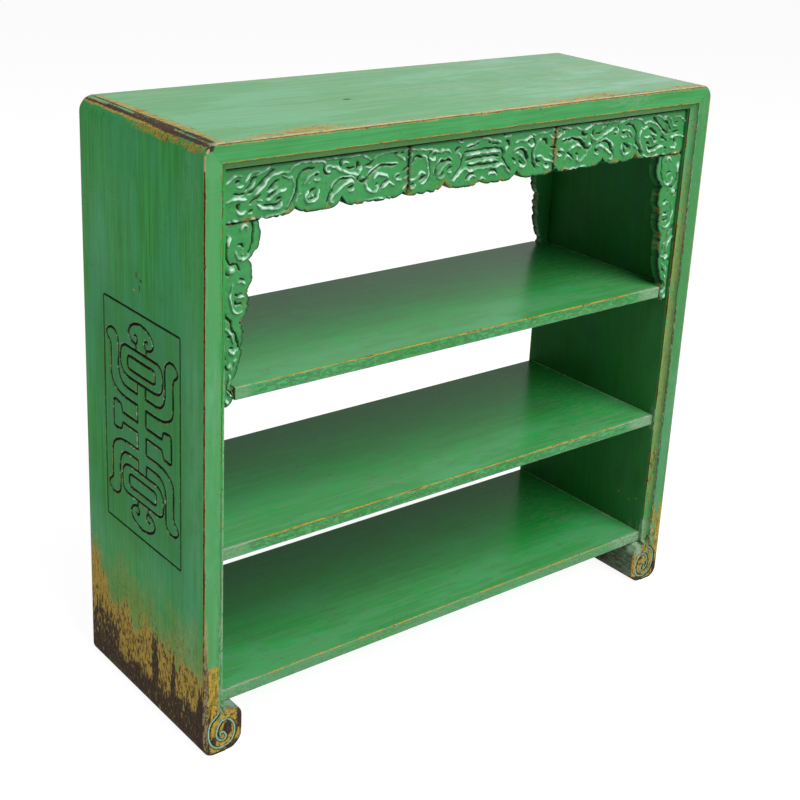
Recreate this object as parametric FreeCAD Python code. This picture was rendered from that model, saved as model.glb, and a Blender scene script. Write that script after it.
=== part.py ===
import FreeCAD, Part

import math
import os

from FreeCAD import Vector

# An open Chinese book cabinet: two thick side boards and a thick top joined on rounded mitres,
# three shelves, a carved apron with hanging spandrels at the front and at the back, and feet
# that roll inwards as scrolls. X runs to the right, Y to the back, Z up. The origin is on the
# floor, under the middle of the case. All sizes are in millimetres.

# Case
case_width = 1120.0
case_depth = 400.0
case_height = 1058.0
board_thickness = 44.0
top_corner_radius = 26.0
sole_corner_radius = 20.0
arris_radius = 2.0

# Cove along the inner front and back edges of the sides and the top
cove_width = 12.0
cove_depth = 12.0
cove_hollow_share = 0.34

# Blind mitred dovetails between the top board and the sides
dovetail_count = 5
dovetail_lap = 13.0
dovetail_end_margin = 34.0
dovetail_width = 36.0
dovetail_flare = 5.0

# Shelves: heights are of their upper faces above the floor
shelf_thickness = 22.0
shelf_setback = 18.0
bottom_shelf_top = 107.0
middle_shelf_top = 376.0
upper_shelf_top = 657.0
housing_depth = 14.0
housing_margin = 5.0

# Carved apron, in three boards, front and back
trim_setback = 15.0
trim_thickness = 22.0
apron_height = 89.0
apron_seam_left = 162.0
apron_seam_right = 170.0
apron_seam_gap = 0.6
apron_scallop_rise = 15.0
scallop_foot = 24.0
apron_cusp_shares = (0.0, 0.159, 0.333, 0.574, 0.745, 0.872)
apron_rise_shares = (0.25, 1.0, 0.4, 0.92, 0.73, 0.0)
tongue_thickness = 8.0
tongue_length = 9.0

# Spandrels: each row is (drop share at the cusp, width share at the cusp, width share midway)
spandrel_width = 68.0
spandrel_drop_below_shelf = 9.0
notch_margin = 0.9
spandrel_edge_shares = (
    (0.0, 0.94, 1.0),
    (0.205, 0.72, 0.82),
    (0.385, 0.66, 0.71),
    (0.525, 0.52, 0.53),
    (0.88, 0.24, 0.34),
    (1.0, 0.13, 0.0),
)

# Scroll blocks on the inside of the feet
foot_block_width = 32.0
foot_top_radius = 26.0
foot_sole_radius = 28.0
foot_dowel_radius = 5.0
foot_dowel_length = 42.0
foot_dowel_count = 3
foot_dowel_end_distance = 70.0

# Pegs in the apron
peg_radius = 3.0
peg_length = 30.0

# Fits
joint_gap = 0.2
peg_gap = 0.1
overrun = 5.0

# Places that follow from the sizes above
half_width = case_width / 2
half_depth = case_depth / 2
wall_x = half_width - board_thickness
ceiling_z = case_height - board_thickness
trim_front_y = half_depth - trim_setback
trim_back_y = trim_front_y - trim_thickness
trim_mid_y = (trim_front_y + trim_back_y) / 2
apron_z = ceiling_z - apron_height
shelf_edge_y = half_depth - shelf_setback
housing_y = trim_back_y - housing_margin
upper_shelf_z = upper_shelf_top - shelf_thickness
bottom_shelf_z = bottom_shelf_top - shelf_thickness
spandrel_tip_z = upper_shelf_z - spandrel_drop_below_shelf
spandrel_drop = apron_z - spandrel_tip_z
spandrel_groove_z = upper_shelf_top + housing_margin
lap_x = half_width - dovetail_lap
lap_z = case_height - dovetail_lap


def box(low, high):
    """A box from its lowest corner to its highest corner."""
    size = [b - a for a, b in zip(low, high)]
    return Part.makeBox(*size, Vector(*low))


def block(half_x, half_y, z_low, z_high):
    """A box centred on the vertical axis through the origin."""
    return box((-half_x, -half_y, z_low), (half_x, half_y, z_high))


def polygon_along_y(points, y_low, y_high):
    """A prism along Y from a closed outline of (x, z) points."""
    corners = [Vector(x, y_low, z) for x, z in points]
    face = Part.Face(Part.makePolygon(corners + corners[:1]))
    return face.extrude(Vector(0, y_high - y_low, 0))


def prism_along_y(edges, y_low, y_high):
    """A prism along Y from the edges of a closed outline drawn in the plane Y = 0."""
    face = Part.Face(Part.Wire(Part.__sortEdges__(edges)))
    face.translate(Vector(0, y_low, 0))
    return face.extrude(Vector(0, y_high - y_low, 0))


def line(start, end):
    """A straight edge in the XZ plane."""
    return Part.LineSegment(Vector(start[0], 0, start[1]), Vector(end[0], 0, end[1])).toShape()


def arc(start, middle, end):
    """An arc through three (x, z) points in the XZ plane."""
    points = [Vector(x, 0, z) for x, z in (start, middle, end)]
    return Part.Arc(*points).toShape()


def corner_arc(start, end, centre, radius):
    """A quarter round from start to end about its centre, in the XZ plane."""
    away = [(start[i] + end[i]) / 2 - centre[i] for i in (0, 1)]
    reach = radius / math.hypot(*away)
    middle = (centre[0] + away[0] * reach, centre[1] + away[1] * reach)
    return arc(start, middle, end)


def mirrored_x(shape):
    """The same piece on the other side of the cabinet."""
    return shape.mirror(Vector(0, 0, 0), Vector(1, 0, 0))


def mirrored_y(shape):
    """The same piece at the other face of the cabinet."""
    return shape.mirror(Vector(0, 0, 0), Vector(0, 1, 0))


def soften(solid, is_soft):
    """Round the edges that the test picks with the arris radius."""
    edges = [edge for edge in solid.Edges if is_soft(edge)]
    return solid.makeFillet(arris_radius, edges)


def case_envelope():
    """The outside of the case over its full depth, with rounded top and sole corners."""
    top_in, sole_in = half_width - top_corner_radius, half_width - sole_corner_radius
    top_low, sole_high = case_height - top_corner_radius, sole_corner_radius
    edges = [
        line((-sole_in, 0), (sole_in, 0)),
        corner_arc((sole_in, 0), (half_width, sole_high), (sole_in, sole_high), sole_corner_radius),
        line((half_width, sole_high), (half_width, top_low)),
        corner_arc((half_width, top_low), (top_in, case_height), (top_in, top_low),
                   top_corner_radius),
        line((top_in, case_height), (-top_in, case_height)),
        corner_arc((-top_in, case_height), (-half_width, top_low), (-top_in, top_low),
                   top_corner_radius),
        line((-half_width, top_low), (-half_width, sole_high)),
        corner_arc((-half_width, sole_high), (-sole_in, 0), (-sole_in, sole_high),
                   sole_corner_radius),
    ]
    body = prism_along_y(edges, -half_depth, half_depth)

    def on_face(edge):
        return edge.BoundBox.YLength < arris_radius
    return soften(body, on_face)


def cove_bar(length):
    """A bar along +Z that cuts a hollow cove into the edge at the origin.

    The board lies towards +X and +Y of the edge.
    """
    reach_share = (1 + cove_hollow_share) / 2
    start, end = Vector(cove_width, 0, 0), Vector(0, cove_depth, 0)
    middle = Vector(cove_width * reach_share, cove_depth * reach_share, 0)
    corners = [end, Vector(-overrun, cove_depth, 0), Vector(-overrun, -overrun, 0),
               Vector(cove_width, -overrun, 0), start]
    edges = [Part.Arc(start, middle, end).toShape()]
    edges += [Part.LineSegment(a, b).toShape() for a, b in zip(corners, corners[1:])]
    return Part.Face(Part.Wire(Part.__sortEdges__(edges))).extrude(Vector(0, 0, length))


def left_side_coves():
    """Cutters for the front and back coves of the left side board."""
    bar = cove_bar(case_height - bottom_shelf_z)
    bar = bar.mirror(Vector(0, 0, 0), Vector(1, 0, 0))
    bar.translate(Vector(-wall_x, -half_depth, bottom_shelf_z))
    return [bar, mirrored_y(bar)]


def top_coves():
    """Cutters for the front and back coves under the top board."""
    bar = cove_bar(case_width)
    bar.rotate(Vector(0, 0, 0), Vector(0, 1, 0), -90)
    bar.translate(Vector(half_width, -half_depth, ceiling_z))
    return [bar, mirrored_y(bar)]


def left_mitre(of_top):
    """The half space on one side of the left mitre, as a prism over the full depth.

    With of_top it is the side that belongs to the top board, otherwise the side board's.
    """
    outer = (-half_width - overrun, case_height + overrun)
    inner = (-wall_x, ceiling_z)
    far = (-wall_x + overrun, case_height + overrun) if of_top \
        else (-half_width - overrun, ceiling_z - overrun)
    under = (-wall_x + overrun, ceiling_z) if of_top else (-wall_x, ceiling_z - overrun)
    return polygon_along_y([outer, inner, under, far], -half_depth - overrun,
                           half_depth + overrun)


def dovetail_zone(gap):
    """The square bar in the left corner where tails and pins take turns."""
    half_zone = half_depth - dovetail_end_margin + gap
    return box((-lap_x - gap, -half_zone, ceiling_z), (-wall_x, half_zone, lap_z + gap))


def left_tails(gap, reach_in):
    """The tails that hang from the left end of the top board, or the sockets for them.

    Sockets are wider by the gap and reach in past the wall, so that they open on it.
    """
    zone = case_depth - 2 * dovetail_end_margin
    pitch = zone / dovetail_count
    half_out = min(dovetail_width, pitch - dovetail_flare) / 2 + gap
    slope = dovetail_flare / (lap_x - wall_x)
    half_in = half_out - dovetail_flare - slope * reach_in
    x_out, x_in = -lap_x - gap, -wall_x + reach_in
    solids = []
    for number in range(dovetail_count):
        y = (number + 0.5) * pitch - zone / 2
        corners = [Vector(x_out, y - half_out, ceiling_z), Vector(x_in, y - half_in, ceiling_z),
                   Vector(x_in, y + half_in, ceiling_z), Vector(x_out, y + half_out, ceiling_z)]
        face = Part.Face(Part.makePolygon(corners + corners[:1]))
        solids.append(face.extrude(Vector(0, 0, lap_z + joint_gap - ceiling_z)))
    return solids


def shelf_housings():
    """Cutters for the three stopped housings in the left side board."""
    cutters = []
    for top in (bottom_shelf_top, middle_shelf_top, upper_shelf_top):
        low = (-wall_x - housing_depth - joint_gap, -housing_y - joint_gap,
               top - shelf_thickness)
        high = (-wall_x + overrun, housing_y + joint_gap, top)
        cutters.append(box(low, high))
    return cutters


def spandrel_groove():
    """Cutter for the groove in the left side board that takes the front spandrel's tongue."""
    half = tongue_thickness / 2 + joint_gap
    low = (-wall_x - tongue_length - joint_gap, -trim_mid_y - half, spandrel_groove_z)
    high = (-wall_x + overrun, -trim_mid_y + half, apron_z)
    return box(low, high)


def foot_dowel_places():
    """The Y places of the dowels along a foot, evenly spread between the end distances."""
    span = case_depth - 2 * foot_dowel_end_distance
    step = span / (foot_dowel_count - 1)
    return [number * step - span / 2 for number in range(foot_dowel_count)]


def foot_dowels(radius, extra_length):
    """The left foot's dowels, or the holes for them where the values are larger."""
    length = foot_dowel_length + extra_length
    start_x = -wall_x - length / 2
    return [Part.makeCylinder(radius, length, Vector(start_x, y, bottom_shelf_z / 2),
                              Vector(1, 0, 0)) for y in foot_dowel_places()]


def left_side_board(envelope):
    """The left side board, from the floor up to its mitre."""
    slab = box((-half_width, -half_depth, 0), (-wall_x, half_depth, case_height))
    board = slab.common(envelope).cut(left_mitre(True))
    board = board.cut(left_side_coves())
    board = board.fuse(dovetail_zone(0))
    cutters = left_tails(joint_gap, overrun) + shelf_housings()
    cutters += [spandrel_groove(), mirrored_y(spandrel_groove())]
    cutters += foot_dowels(foot_dowel_radius + peg_gap, 2 * peg_gap)
    return board.cut(cutters).removeSplitter()


def apron_groove():
    """Cutter for the groove under the top board that takes the front apron's tongue."""
    half = tongue_thickness / 2 + joint_gap
    return box((-wall_x, -trim_mid_y - half, ceiling_z - overrun),
               (wall_x, -trim_mid_y + half, ceiling_z + tongue_length + joint_gap))


def top_board(envelope):
    """The top board with its mitred ends, its tails and the grooves for the aprons."""
    slab = box((-half_width, -half_depth, ceiling_z), (half_width, half_depth, case_height))
    board = slab.common(envelope).cut(top_coves())
    board = board.cut([left_mitre(False), mirrored_x(left_mitre(False))])
    board = board.cut([dovetail_zone(joint_gap), mirrored_x(dovetail_zone(joint_gap))])
    tails = left_tails(0, 0)
    board = board.fuse(tails + [mirrored_x(tail) for tail in tails])
    return board.cut([apron_groove(), mirrored_y(apron_groove())]).removeSplitter()


def shelf(top, notched):
    """One shelf: a plate with ends that enter the side boards, notched where spandrels pass."""
    plate = block(wall_x, shelf_edge_y, top - shelf_thickness, top)

    def along_x(edge):
        return edge.BoundBox.XLength > wall_x
    plate = soften(plate, along_x)
    ends = block(wall_x + housing_depth, housing_y, top - shelf_thickness, top)
    board = plate.fuse(ends)
    if notched:
        tip = spandrel_width * spandrel_edge_shares[-2][2] + notch_margin
        notch = box((-wall_x - overrun, -half_depth, top - shelf_thickness - overrun),
                    (-wall_x + tip, -trim_back_y + joint_gap, top + overrun))
        notches = [notch, mirrored_x(notch)]
        board = board.cut(notches + [mirrored_y(cutter) for cutter in notches])
    return board.removeSplitter()


def scallop(cusp, foot):
    """The rounded corner of a lobe: from a cusp down to the lobe's flat, tangent to it."""
    run, rise = abs(foot[0] - cusp[0]), cusp[1] - foot[1]
    radius = (run * run + rise * rise) / (2 * rise)
    half_turn = math.asin(min(run / radius, 1.0)) / 2
    side = 1 if cusp[0] > foot[0] else -1
    middle = (foot[0] + side * radius * math.sin(half_turn),
              foot[1] + radius * (1 - math.cos(half_turn)))
    return arc(cusp, middle, foot)


def scalloped_edge(half_span):
    """The apron's lower edge from the left wall to the right wall, as joined edges."""
    shares = list(zip(apron_cusp_shares, apron_rise_shares))
    cusps = [(-half_span * x, apron_z + apron_scallop_rise * rise) for x, rise in shares[:0:-1]]
    cusps += [(half_span * x, apron_z + apron_scallop_rise * rise) for x, rise in shares]
    edges = [line((-half_span, apron_z), cusps[0])]
    for left, right in zip(cusps, cusps[1:]):
        reach = min(scallop_foot, (right[0] - left[0]) / 3)
        foot_left, foot_right = (left[0] + reach, apron_z), (right[0] - reach, apron_z)
        if left[1] > apron_z:
            edges.append(scallop(left, foot_left))
        else:
            foot_left = left
        if right[1] > apron_z:
            edges += [line(foot_left, foot_right), scallop(right, foot_right)]
        else:
            edges.append(line(foot_left, right))
    edges.append(line(cusps[-1], (half_span, apron_z)))
    return edges


def front_apron():
    """The whole front apron with its tongue, before it is parted into three boards."""
    edges = scalloped_edge(wall_x)
    edges += [line((wall_x, apron_z), (wall_x, ceiling_z)),
              line((wall_x, ceiling_z), (-wall_x, ceiling_z)),
              line((-wall_x, ceiling_z), (-wall_x, apron_z))]
    board = prism_along_y(edges, -trim_front_y, -trim_back_y)
    tongue = box((-wall_x, -trim_mid_y - tongue_thickness / 2, ceiling_z),
                 (wall_x, -trim_mid_y + tongue_thickness / 2, ceiling_z + tongue_length))
    return board.fuse(tongue).removeSplitter()


def apron_seams():
    """The X places of the two seams between the apron boards."""
    return [-apron_seam_left, apron_seam_right]


def seam_pegs(radius, extra_length):
    """The pegs across the seams of the front apron, or the holes for them."""
    length = peg_length + extra_length
    z = (apron_z + apron_scallop_rise + ceiling_z) / 2
    return [Part.makeCylinder(radius, length, Vector(x - length / 2, -trim_mid_y, z),
                              Vector(1, 0, 0)) for x in apron_seams()]


def spandrel_pegs(radius, extra_length):
    """The two upright pegs that hold the front spandrels to the apron, or their holes."""
    length = peg_length + extra_length
    x, z = wall_x - spandrel_width / 2, apron_z - length / 2
    return [Part.makeCylinder(radius, length, Vector(side * x, -trim_mid_y, z))
            for side in (-1, 1)]


def apron_boards():
    """The three boards of the front apron, from left to right."""
    holes = seam_pegs(peg_radius + peg_gap, 2 * peg_gap)
    holes += spandrel_pegs(peg_radius + peg_gap, 2 * peg_gap)
    whole = front_apron().cut(holes)
    seam_left, seam_right = apron_seams()
    half_gap = apron_seam_gap / 2
    spans = [(-wall_x, seam_left - half_gap), (seam_left + half_gap, seam_right - half_gap),
             (seam_right + half_gap, wall_x)]
    return [whole.common(box((x_low, -half_depth, 0), (x_high, 0, case_height)))
            for x_low, x_high in spans]


def left_spandrel():
    """The front left spandrel: a lobed bracket that tapers to a curl in front of the shelf."""
    def place(drop_share, width_share):
        return (-wall_x + spandrel_width * width_share, apron_z - spandrel_drop * drop_share)
    edges = []
    for upper, lower in zip(spandrel_edge_shares, spandrel_edge_shares[1:]):
        middle_drop = (upper[0] + lower[0]) / 2
        edges.append(arc(place(upper[0], upper[1]), place(middle_drop, upper[2]),
                         place(lower[0], lower[1])))
    last = place(*spandrel_edge_shares[-1][:2])
    edges += [line(last, (-wall_x, last[1])), line((-wall_x, last[1]), (-wall_x, apron_z)),
              line((-wall_x, apron_z), place(*spandrel_edge_shares[0][:2]))]
    board = prism_along_y(edges, -trim_front_y, -trim_back_y)
    tongue = box((-wall_x - tongue_length, -trim_mid_y - tongue_thickness / 2,
                  spandrel_groove_z),
                 (-wall_x, -trim_mid_y + tongue_thickness / 2, apron_z))
    holes = spandrel_pegs(peg_radius + peg_gap, 2 * peg_gap)
    return board.fuse(tongue).cut(holes).removeSplitter()


def left_foot_block():
    """The scroll block under the bottom shelf, on the inside of the left foot."""
    x_out = -wall_x + foot_block_width
    top_radius = min(foot_top_radius, foot_block_width, bottom_shelf_z / 2)
    sole_radius = min(foot_sole_radius, foot_block_width, bottom_shelf_z / 2)
    top_z = bottom_shelf_z
    edges = [
        line((-wall_x, 0), (x_out - sole_radius, 0)),
        corner_arc((x_out - sole_radius, 0), (x_out, sole_radius),
                   (x_out - sole_radius, sole_radius), sole_radius),
        line((x_out, sole_radius), (x_out, top_z - top_radius)),
        corner_arc((x_out, top_z - top_radius), (x_out - top_radius, top_z),
                   (x_out - top_radius, top_z - top_radius), top_radius),
        line((x_out - top_radius, top_z), (-wall_x, top_z)),
        line((-wall_x, top_z), (-wall_x, 0)),
    ]
    body = prism_along_y(edges, -half_depth, half_depth)
    return body.cut(foot_dowels(foot_dowel_radius + peg_gap, 2 * peg_gap))


def write(name, shape):
    """Write one piece, or one group of solids, to its own file."""
    shape.exportStep(f"parts/{name}.step")
    print(f"{name}: {len(shape.Solids)} solid(s), {shape.Volume / 1000:.1f} cm3")


def write_case():
    """Write the side boards, the top and the shelves."""
    envelope = case_envelope()
    left = left_side_board(envelope)
    write("left_side_board", left)
    write("right_side_board", mirrored_x(left))
    write("top_board", top_board(envelope))
    write("upper_shelf", shelf(upper_shelf_top, True))
    write("middle_shelf", shelf(middle_shelf_top, False))
    write("bottom_shelf", shelf(bottom_shelf_top, False))


def write_trim():
    """Write the aprons and spandrels with their pegs."""
    for side, board in zip(("left", "centre", "right"), apron_boards()):
        write(f"front_apron_{side}", board)
        write(f"back_apron_{side}", mirrored_y(board))
    spandrel = left_spandrel()
    write("front_left_spandrel", spandrel)
    write("front_right_spandrel", mirrored_x(spandrel))
    write("back_left_spandrel", mirrored_y(spandrel))
    write("back_right_spandrel", mirrored_x(mirrored_y(spandrel)))
    pegs = seam_pegs(peg_radius, 0)
    write("apron_joint_pegs", Part.makeCompound(pegs + [mirrored_y(peg) for peg in pegs]))
    pegs = spandrel_pegs(peg_radius, 0)
    write("spandrel_pegs", Part.makeCompound(pegs + [mirrored_y(peg) for peg in pegs]))


def write_feet():
    """Write the scroll blocks of the feet and their dowels."""
    block_left = left_foot_block()
    write("left_foot_scroll", block_left)
    write("right_foot_scroll", mirrored_x(block_left))
    dowels = foot_dowels(foot_dowel_radius, 0)
    write("foot_dowels", Part.makeCompound(dowels + [mirrored_x(dowel) for dowel in dowels]))


os.makedirs("parts", exist_ok=True)
write_case()
write_trim()
write_feet()
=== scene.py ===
"""Looks of an open Chinese book cabinet in worn green lacquer.

Thick case boards meet on rounded mitres and three shelves run between them. A carved apron with
hanging spandrels frames the top bay at the front and at the back, strapwork is incised in the
outer faces, and the feet roll inwards as scrolls. X runs to the right, Y to the back, Z up, and
the origin is on the floor under the middle of the case. Lengths are in metres, but for the
carver's tables, which are in millimetres.
"""

import logging
import math
from dataclasses import dataclass, field, replace
from enum import Enum

import bmesh
import bpy
import numpy as np
from mathutils import Matrix, Vector
from mathutils.geometry import delaunay_2d_cdt


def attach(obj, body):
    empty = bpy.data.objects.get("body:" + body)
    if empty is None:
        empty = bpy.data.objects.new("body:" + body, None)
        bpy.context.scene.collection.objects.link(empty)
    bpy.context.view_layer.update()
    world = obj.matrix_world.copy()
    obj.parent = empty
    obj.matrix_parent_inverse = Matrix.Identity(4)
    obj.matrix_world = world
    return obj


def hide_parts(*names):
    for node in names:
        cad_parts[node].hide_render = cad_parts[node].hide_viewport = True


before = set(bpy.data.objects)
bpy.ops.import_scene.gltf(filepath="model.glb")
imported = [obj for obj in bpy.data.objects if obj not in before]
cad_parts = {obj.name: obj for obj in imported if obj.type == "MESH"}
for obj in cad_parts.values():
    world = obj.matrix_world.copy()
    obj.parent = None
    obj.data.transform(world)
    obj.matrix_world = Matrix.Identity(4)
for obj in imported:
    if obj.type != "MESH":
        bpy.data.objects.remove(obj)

log = logging.getLogger("book_cabinet")

MM = 0.001
ENDLESS = 10.0          # a size that reaches past the whole cabinet, metres
SPLINE_SAMPLES = 24     # points worked out on each span of a carved line
LINE_STEP = 0.5         # then spaced evenly along it, millimetres
TAPER = 1.6             # a stroke narrows over this many of its half widths at either end
TAPER_LEAST = 0.16      # down to the root of this share of its half width
OUTLINE = 0.25          # a stroke's field where its outline is drawn
OUTLINE_GAIN = 1.3      # and how strongly it is drawn
WELD = 2e-6             # points nearer than this are one point, metres
MEET = 1e-7             # corners nearer than this meet where two loops are joined, metres


class Axis(Enum):
    """A direction of the cabinet, by its place in a point."""

    X = 0
    Y = 1
    Z = 2


class Layer(Enum):
    """What shows where the lacquer has changed or gone, each over the one before; the grime's
    colour also paints shade, and the faded and rubbed colours paint light and sheen on the
    shelves.
    """

    # Also the painted light on the shelves' fronts and a painted sheen on them
    FADED = "lacquer faded by the sun"
    BLEACHED = "lacquer faded further"
    # Also the painted shade inside the bays, on the shelves' backs and in the cove under the rail
    GRIME_AND_SHADE = "lacquer under old grime"
    GROUND = "the ochre undercoat"
    BARE = "the dark wood"
    PRIMER = "the pale primer"
    # Also painted sheen streaks on the shelves
    RUBBED = "lacquer rubbed pale, with dust in it"


class Join(Enum):
    """How values are joined: the node's type, its inputs and output by number, its settings.

    A step runs smoothly from 0, where its first value is at its second, to 1 at its third. A
    blend lays its third value over its second, by the share that its first gives.
    """

    STEP = ("MapRange", (0, 1, 2), 0, {"interpolation_type": "SMOOTHSTEP"})
    TIMES = ("Math", (0, 1), 0, {"operation": "MULTIPLY"})
    TIMES_PLUS = ("Math", (0, 1, 2), 0, {"operation": "MULTIPLY_ADD"})
    LESS = ("Math", (0, 1), 0, {"operation": "SUBTRACT"})
    LARGEST = ("Math", (0, 1), 0, {"operation": "MAXIMUM"})
    BLEND = ("Mix", (0, 6, 7), 2, {"data_type": "RGBA"})
    POINT = ("CombineXYZ", (0, 1, 2), 0, {})
    POINT_LESS = ("VectorMath", (0, 1), 0, {"operation": "SUBTRACT"})
    POINT_TIMES = ("VectorMath", (0, 1), 0, {"operation": "MULTIPLY"})
    POINT_OVER = ("VectorMath", (0, 1), 0, {"operation": "DIVIDE"})
    POINT_POSITIVE = ("VectorMath", (0,), 0, {"operation": "ABSOLUTE"})
    POINT_LENGTH = ("VectorMath", (0,), 1, {"operation": "LENGTH"})
    POINT_DOT = ("VectorMath", (0, 1), 1, {"operation": "DOT_PRODUCT"})


# ---- Carver's tables -----------------------------------------------------------------------
# Each row is a half width and then x, z, x, z, ... of a line, in millimetres.
# On the apron x is counted from the middle and z from its lower edge. The other half mirrors it.
APRON_RIDGES = (
    (2.6, (-10, 57, 20, 57, 40, 55)),
    (2.4, (-10, 42, 15, 42, 33, 41)),
    (2.4, (-10, 30, 14, 30, 30, 29, 42, 33, 51, 28, 58, 20, 67, 15)),
    (2.2, (-10, 80, 8, 82, 16, 78, 28, 75, 40, 71)),
    (2.5, (56, 62, 51, 58, 50, 52)),
    (1.8, (46, 79, 54, 80, 62, 82)),
    (2.8, (73, 66, 79, 70, 88, 71, 96, 69, 104, 71, 110, 73, 115, 70)),
    (2.4, (106, 61, 109, 57, 114, 57, 119, 60)),
    (1.7, (70, 52, 76, 56, 86, 57, 95, 55, 102, 49, 106, 40, 107, 30)),
    (2.6, (71, 45, 75, 48, 82, 47, 88, 42, 93, 37, 98, 33, 102, 31)),
    (2.0, (69, 33, 72, 31, 77, 31)),
    (2.4, (86, 28, 88, 24, 93, 22, 99, 25, 101, 30)),
    (2.6, (14, 16, 18, 19, 24, 18, 30, 17, 32, 12)),
    (1.8, (-10, 13, 0, 14, 8, 11)),
    (1.9, (137, 68, 129, 65, 124, 58, 121, 48, 121, 37, 123, 27, 128, 21, 135, 18)),
    (2.4, (127, 36, 132, 38, 139, 36, 146, 30, 154, 27, 162, 25, 170, 20, 174, 14)),
    (2.2, (146, 19, 150, 15, 156, 15, 160, 18)),
    (1.7, (113, 77, 122, 75, 130, 77, 145, 79, 163, 79)),
    (1.7, (160, 82, 166, 81, 170, 78, 176, 76)),
    (1.7, (155, 72, 160, 68, 168, 66)),
    (2.0, (160, 47, 166, 47, 172, 43)),
    (2.0, (160, 38, 166, 34, 172, 33)),
    (3.0, (172, 63, 178, 68, 186, 72, 192, 74)),
    (1.8, (180, 84, 190, 82, 205, 80, 218, 80, 224, 78, 231, 75, 238, 73)),
    (2.6, (241, 72, 248, 76, 254, 79, 258, 83)),
    (1.6, (238, 61, 244, 59, 251, 61)),
    (1.7, (185, 60, 197, 62, 210, 62, 222, 61, 230, 59, 238, 55, 244, 50, 248, 44)),
    (2.0, (253, 43, 257, 46, 261, 43)),
    (3.0, (205, 39, 211, 43, 218, 45, 226, 47, 231, 44, 235, 39)),
    (2.2, (182, 41, 186, 43, 191, 40, 194, 35)),
    (2.2, (177, 34, 181, 31, 187, 32)),
    (2.4, (191, 22, 197, 27, 203, 30, 208, 27, 213, 23, 217, 20)),
    (2.8, (225, 27, 227, 21, 233, 18, 240, 20, 247, 25, 250, 30, 254, 35)),
    (1.5, (198, 5, 215, 5, 235, 5, 252, 5)),
    (3.0, (261, 62, 262, 57, 267, 53, 276, 52, 285, 55, 295, 60, 305, 64, 313, 68, 320, 71)),
    (2.2, (320, 71, 326, 69, 328, 64, 325, 60, 320, 61)),
    (1.9, (285, 71, 290, 74, 295, 73, 296, 70)),
    (1.7, (258, 81, 275, 81, 295, 81, 315, 81, 328, 82)),
    (2.4, (330, 75, 336, 79, 342, 82)),
    (1.7, (272, 45, 280, 48, 290, 50, 300, 50, 310, 46, 316, 40, 319, 33)),
    (2.6, (273, 37, 278, 41, 285, 41, 291, 38, 298, 33, 305, 28, 312, 24, 317, 20, 319, 15,
           316, 11, 311, 12)),
    (2.0, (272, 27, 277, 25, 283, 25)),
    (2.0, (340, 81, 355, 81, 370, 82, 380, 81, 388, 79, 394, 74, 399, 69)),
    (2.3, (399, 69, 408, 71, 418, 71, 426, 69, 432, 66, 438, 61, 444, 55, 450, 49, 456, 43,
           461, 40)),
    (2.3, (342, 62, 350, 62, 358, 60, 364, 56, 368, 51, 371, 48)),
    (2.2, (340, 52, 346, 49, 352, 51)),
    (1.8, (357, 55, 359, 50, 364, 47)),
    (2.2, (342, 35, 343, 27, 346, 20, 351, 16, 358, 16, 364, 19, 367, 25, 366, 32, 361, 36)),
    (2.4, (353, 27,)),
    (2.0, (374, 31, 378, 30, 382, 26, 386, 22)),
    (2.0, (392, 62, 398, 59, 404, 62, 410, 65)),
    (1.8, (392, 58, 389, 46, 391, 34, 396, 24, 404, 15)),
    (2.2, (420, 49, 425, 46, 431, 44, 436, 42)),
    (2.6, (404, 44, 409, 42, 415, 42, 420, 41, 426, 36, 431, 32, 438, 30)),
    (2.9, (410, 24, 413, 18, 420, 15, 430, 15, 440, 17, 449, 20, 456, 23)),
    (1.6, (405, 8, 420, 4, 440, 4, 450, 5)),
    (2.3, (428, 80, 434, 82, 440, 79, 446, 76, 452, 73, 458, 72)),
    (2.0, (450, 76, 456, 77, 463, 77, 470, 74, 475, 68, 478, 63)),
    (2.0, (460, 63, 463, 59, 466, 55, 471, 51)),
    (2.3, (483, 72, 490, 75, 498, 74, 504, 70, 510, 65, 515, 61)),
    (2.6, (481, 58, 487, 56, 492, 57)),
    (2.7, (476, 36, 483, 37, 490, 39, 498, 38, 507, 36, 515, 33)),
    (2.8, (476, 18, 483, 15, 490, 16, 494, 21)),
    (2.0, (448, 31, 456, 32)),
    (1.8, (465, 13, 470, 11)),
    (2.0, (458, 4, 467, 3)),
    (1.8, (491, 3, 500, 4, 508, 3)),
)
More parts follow.
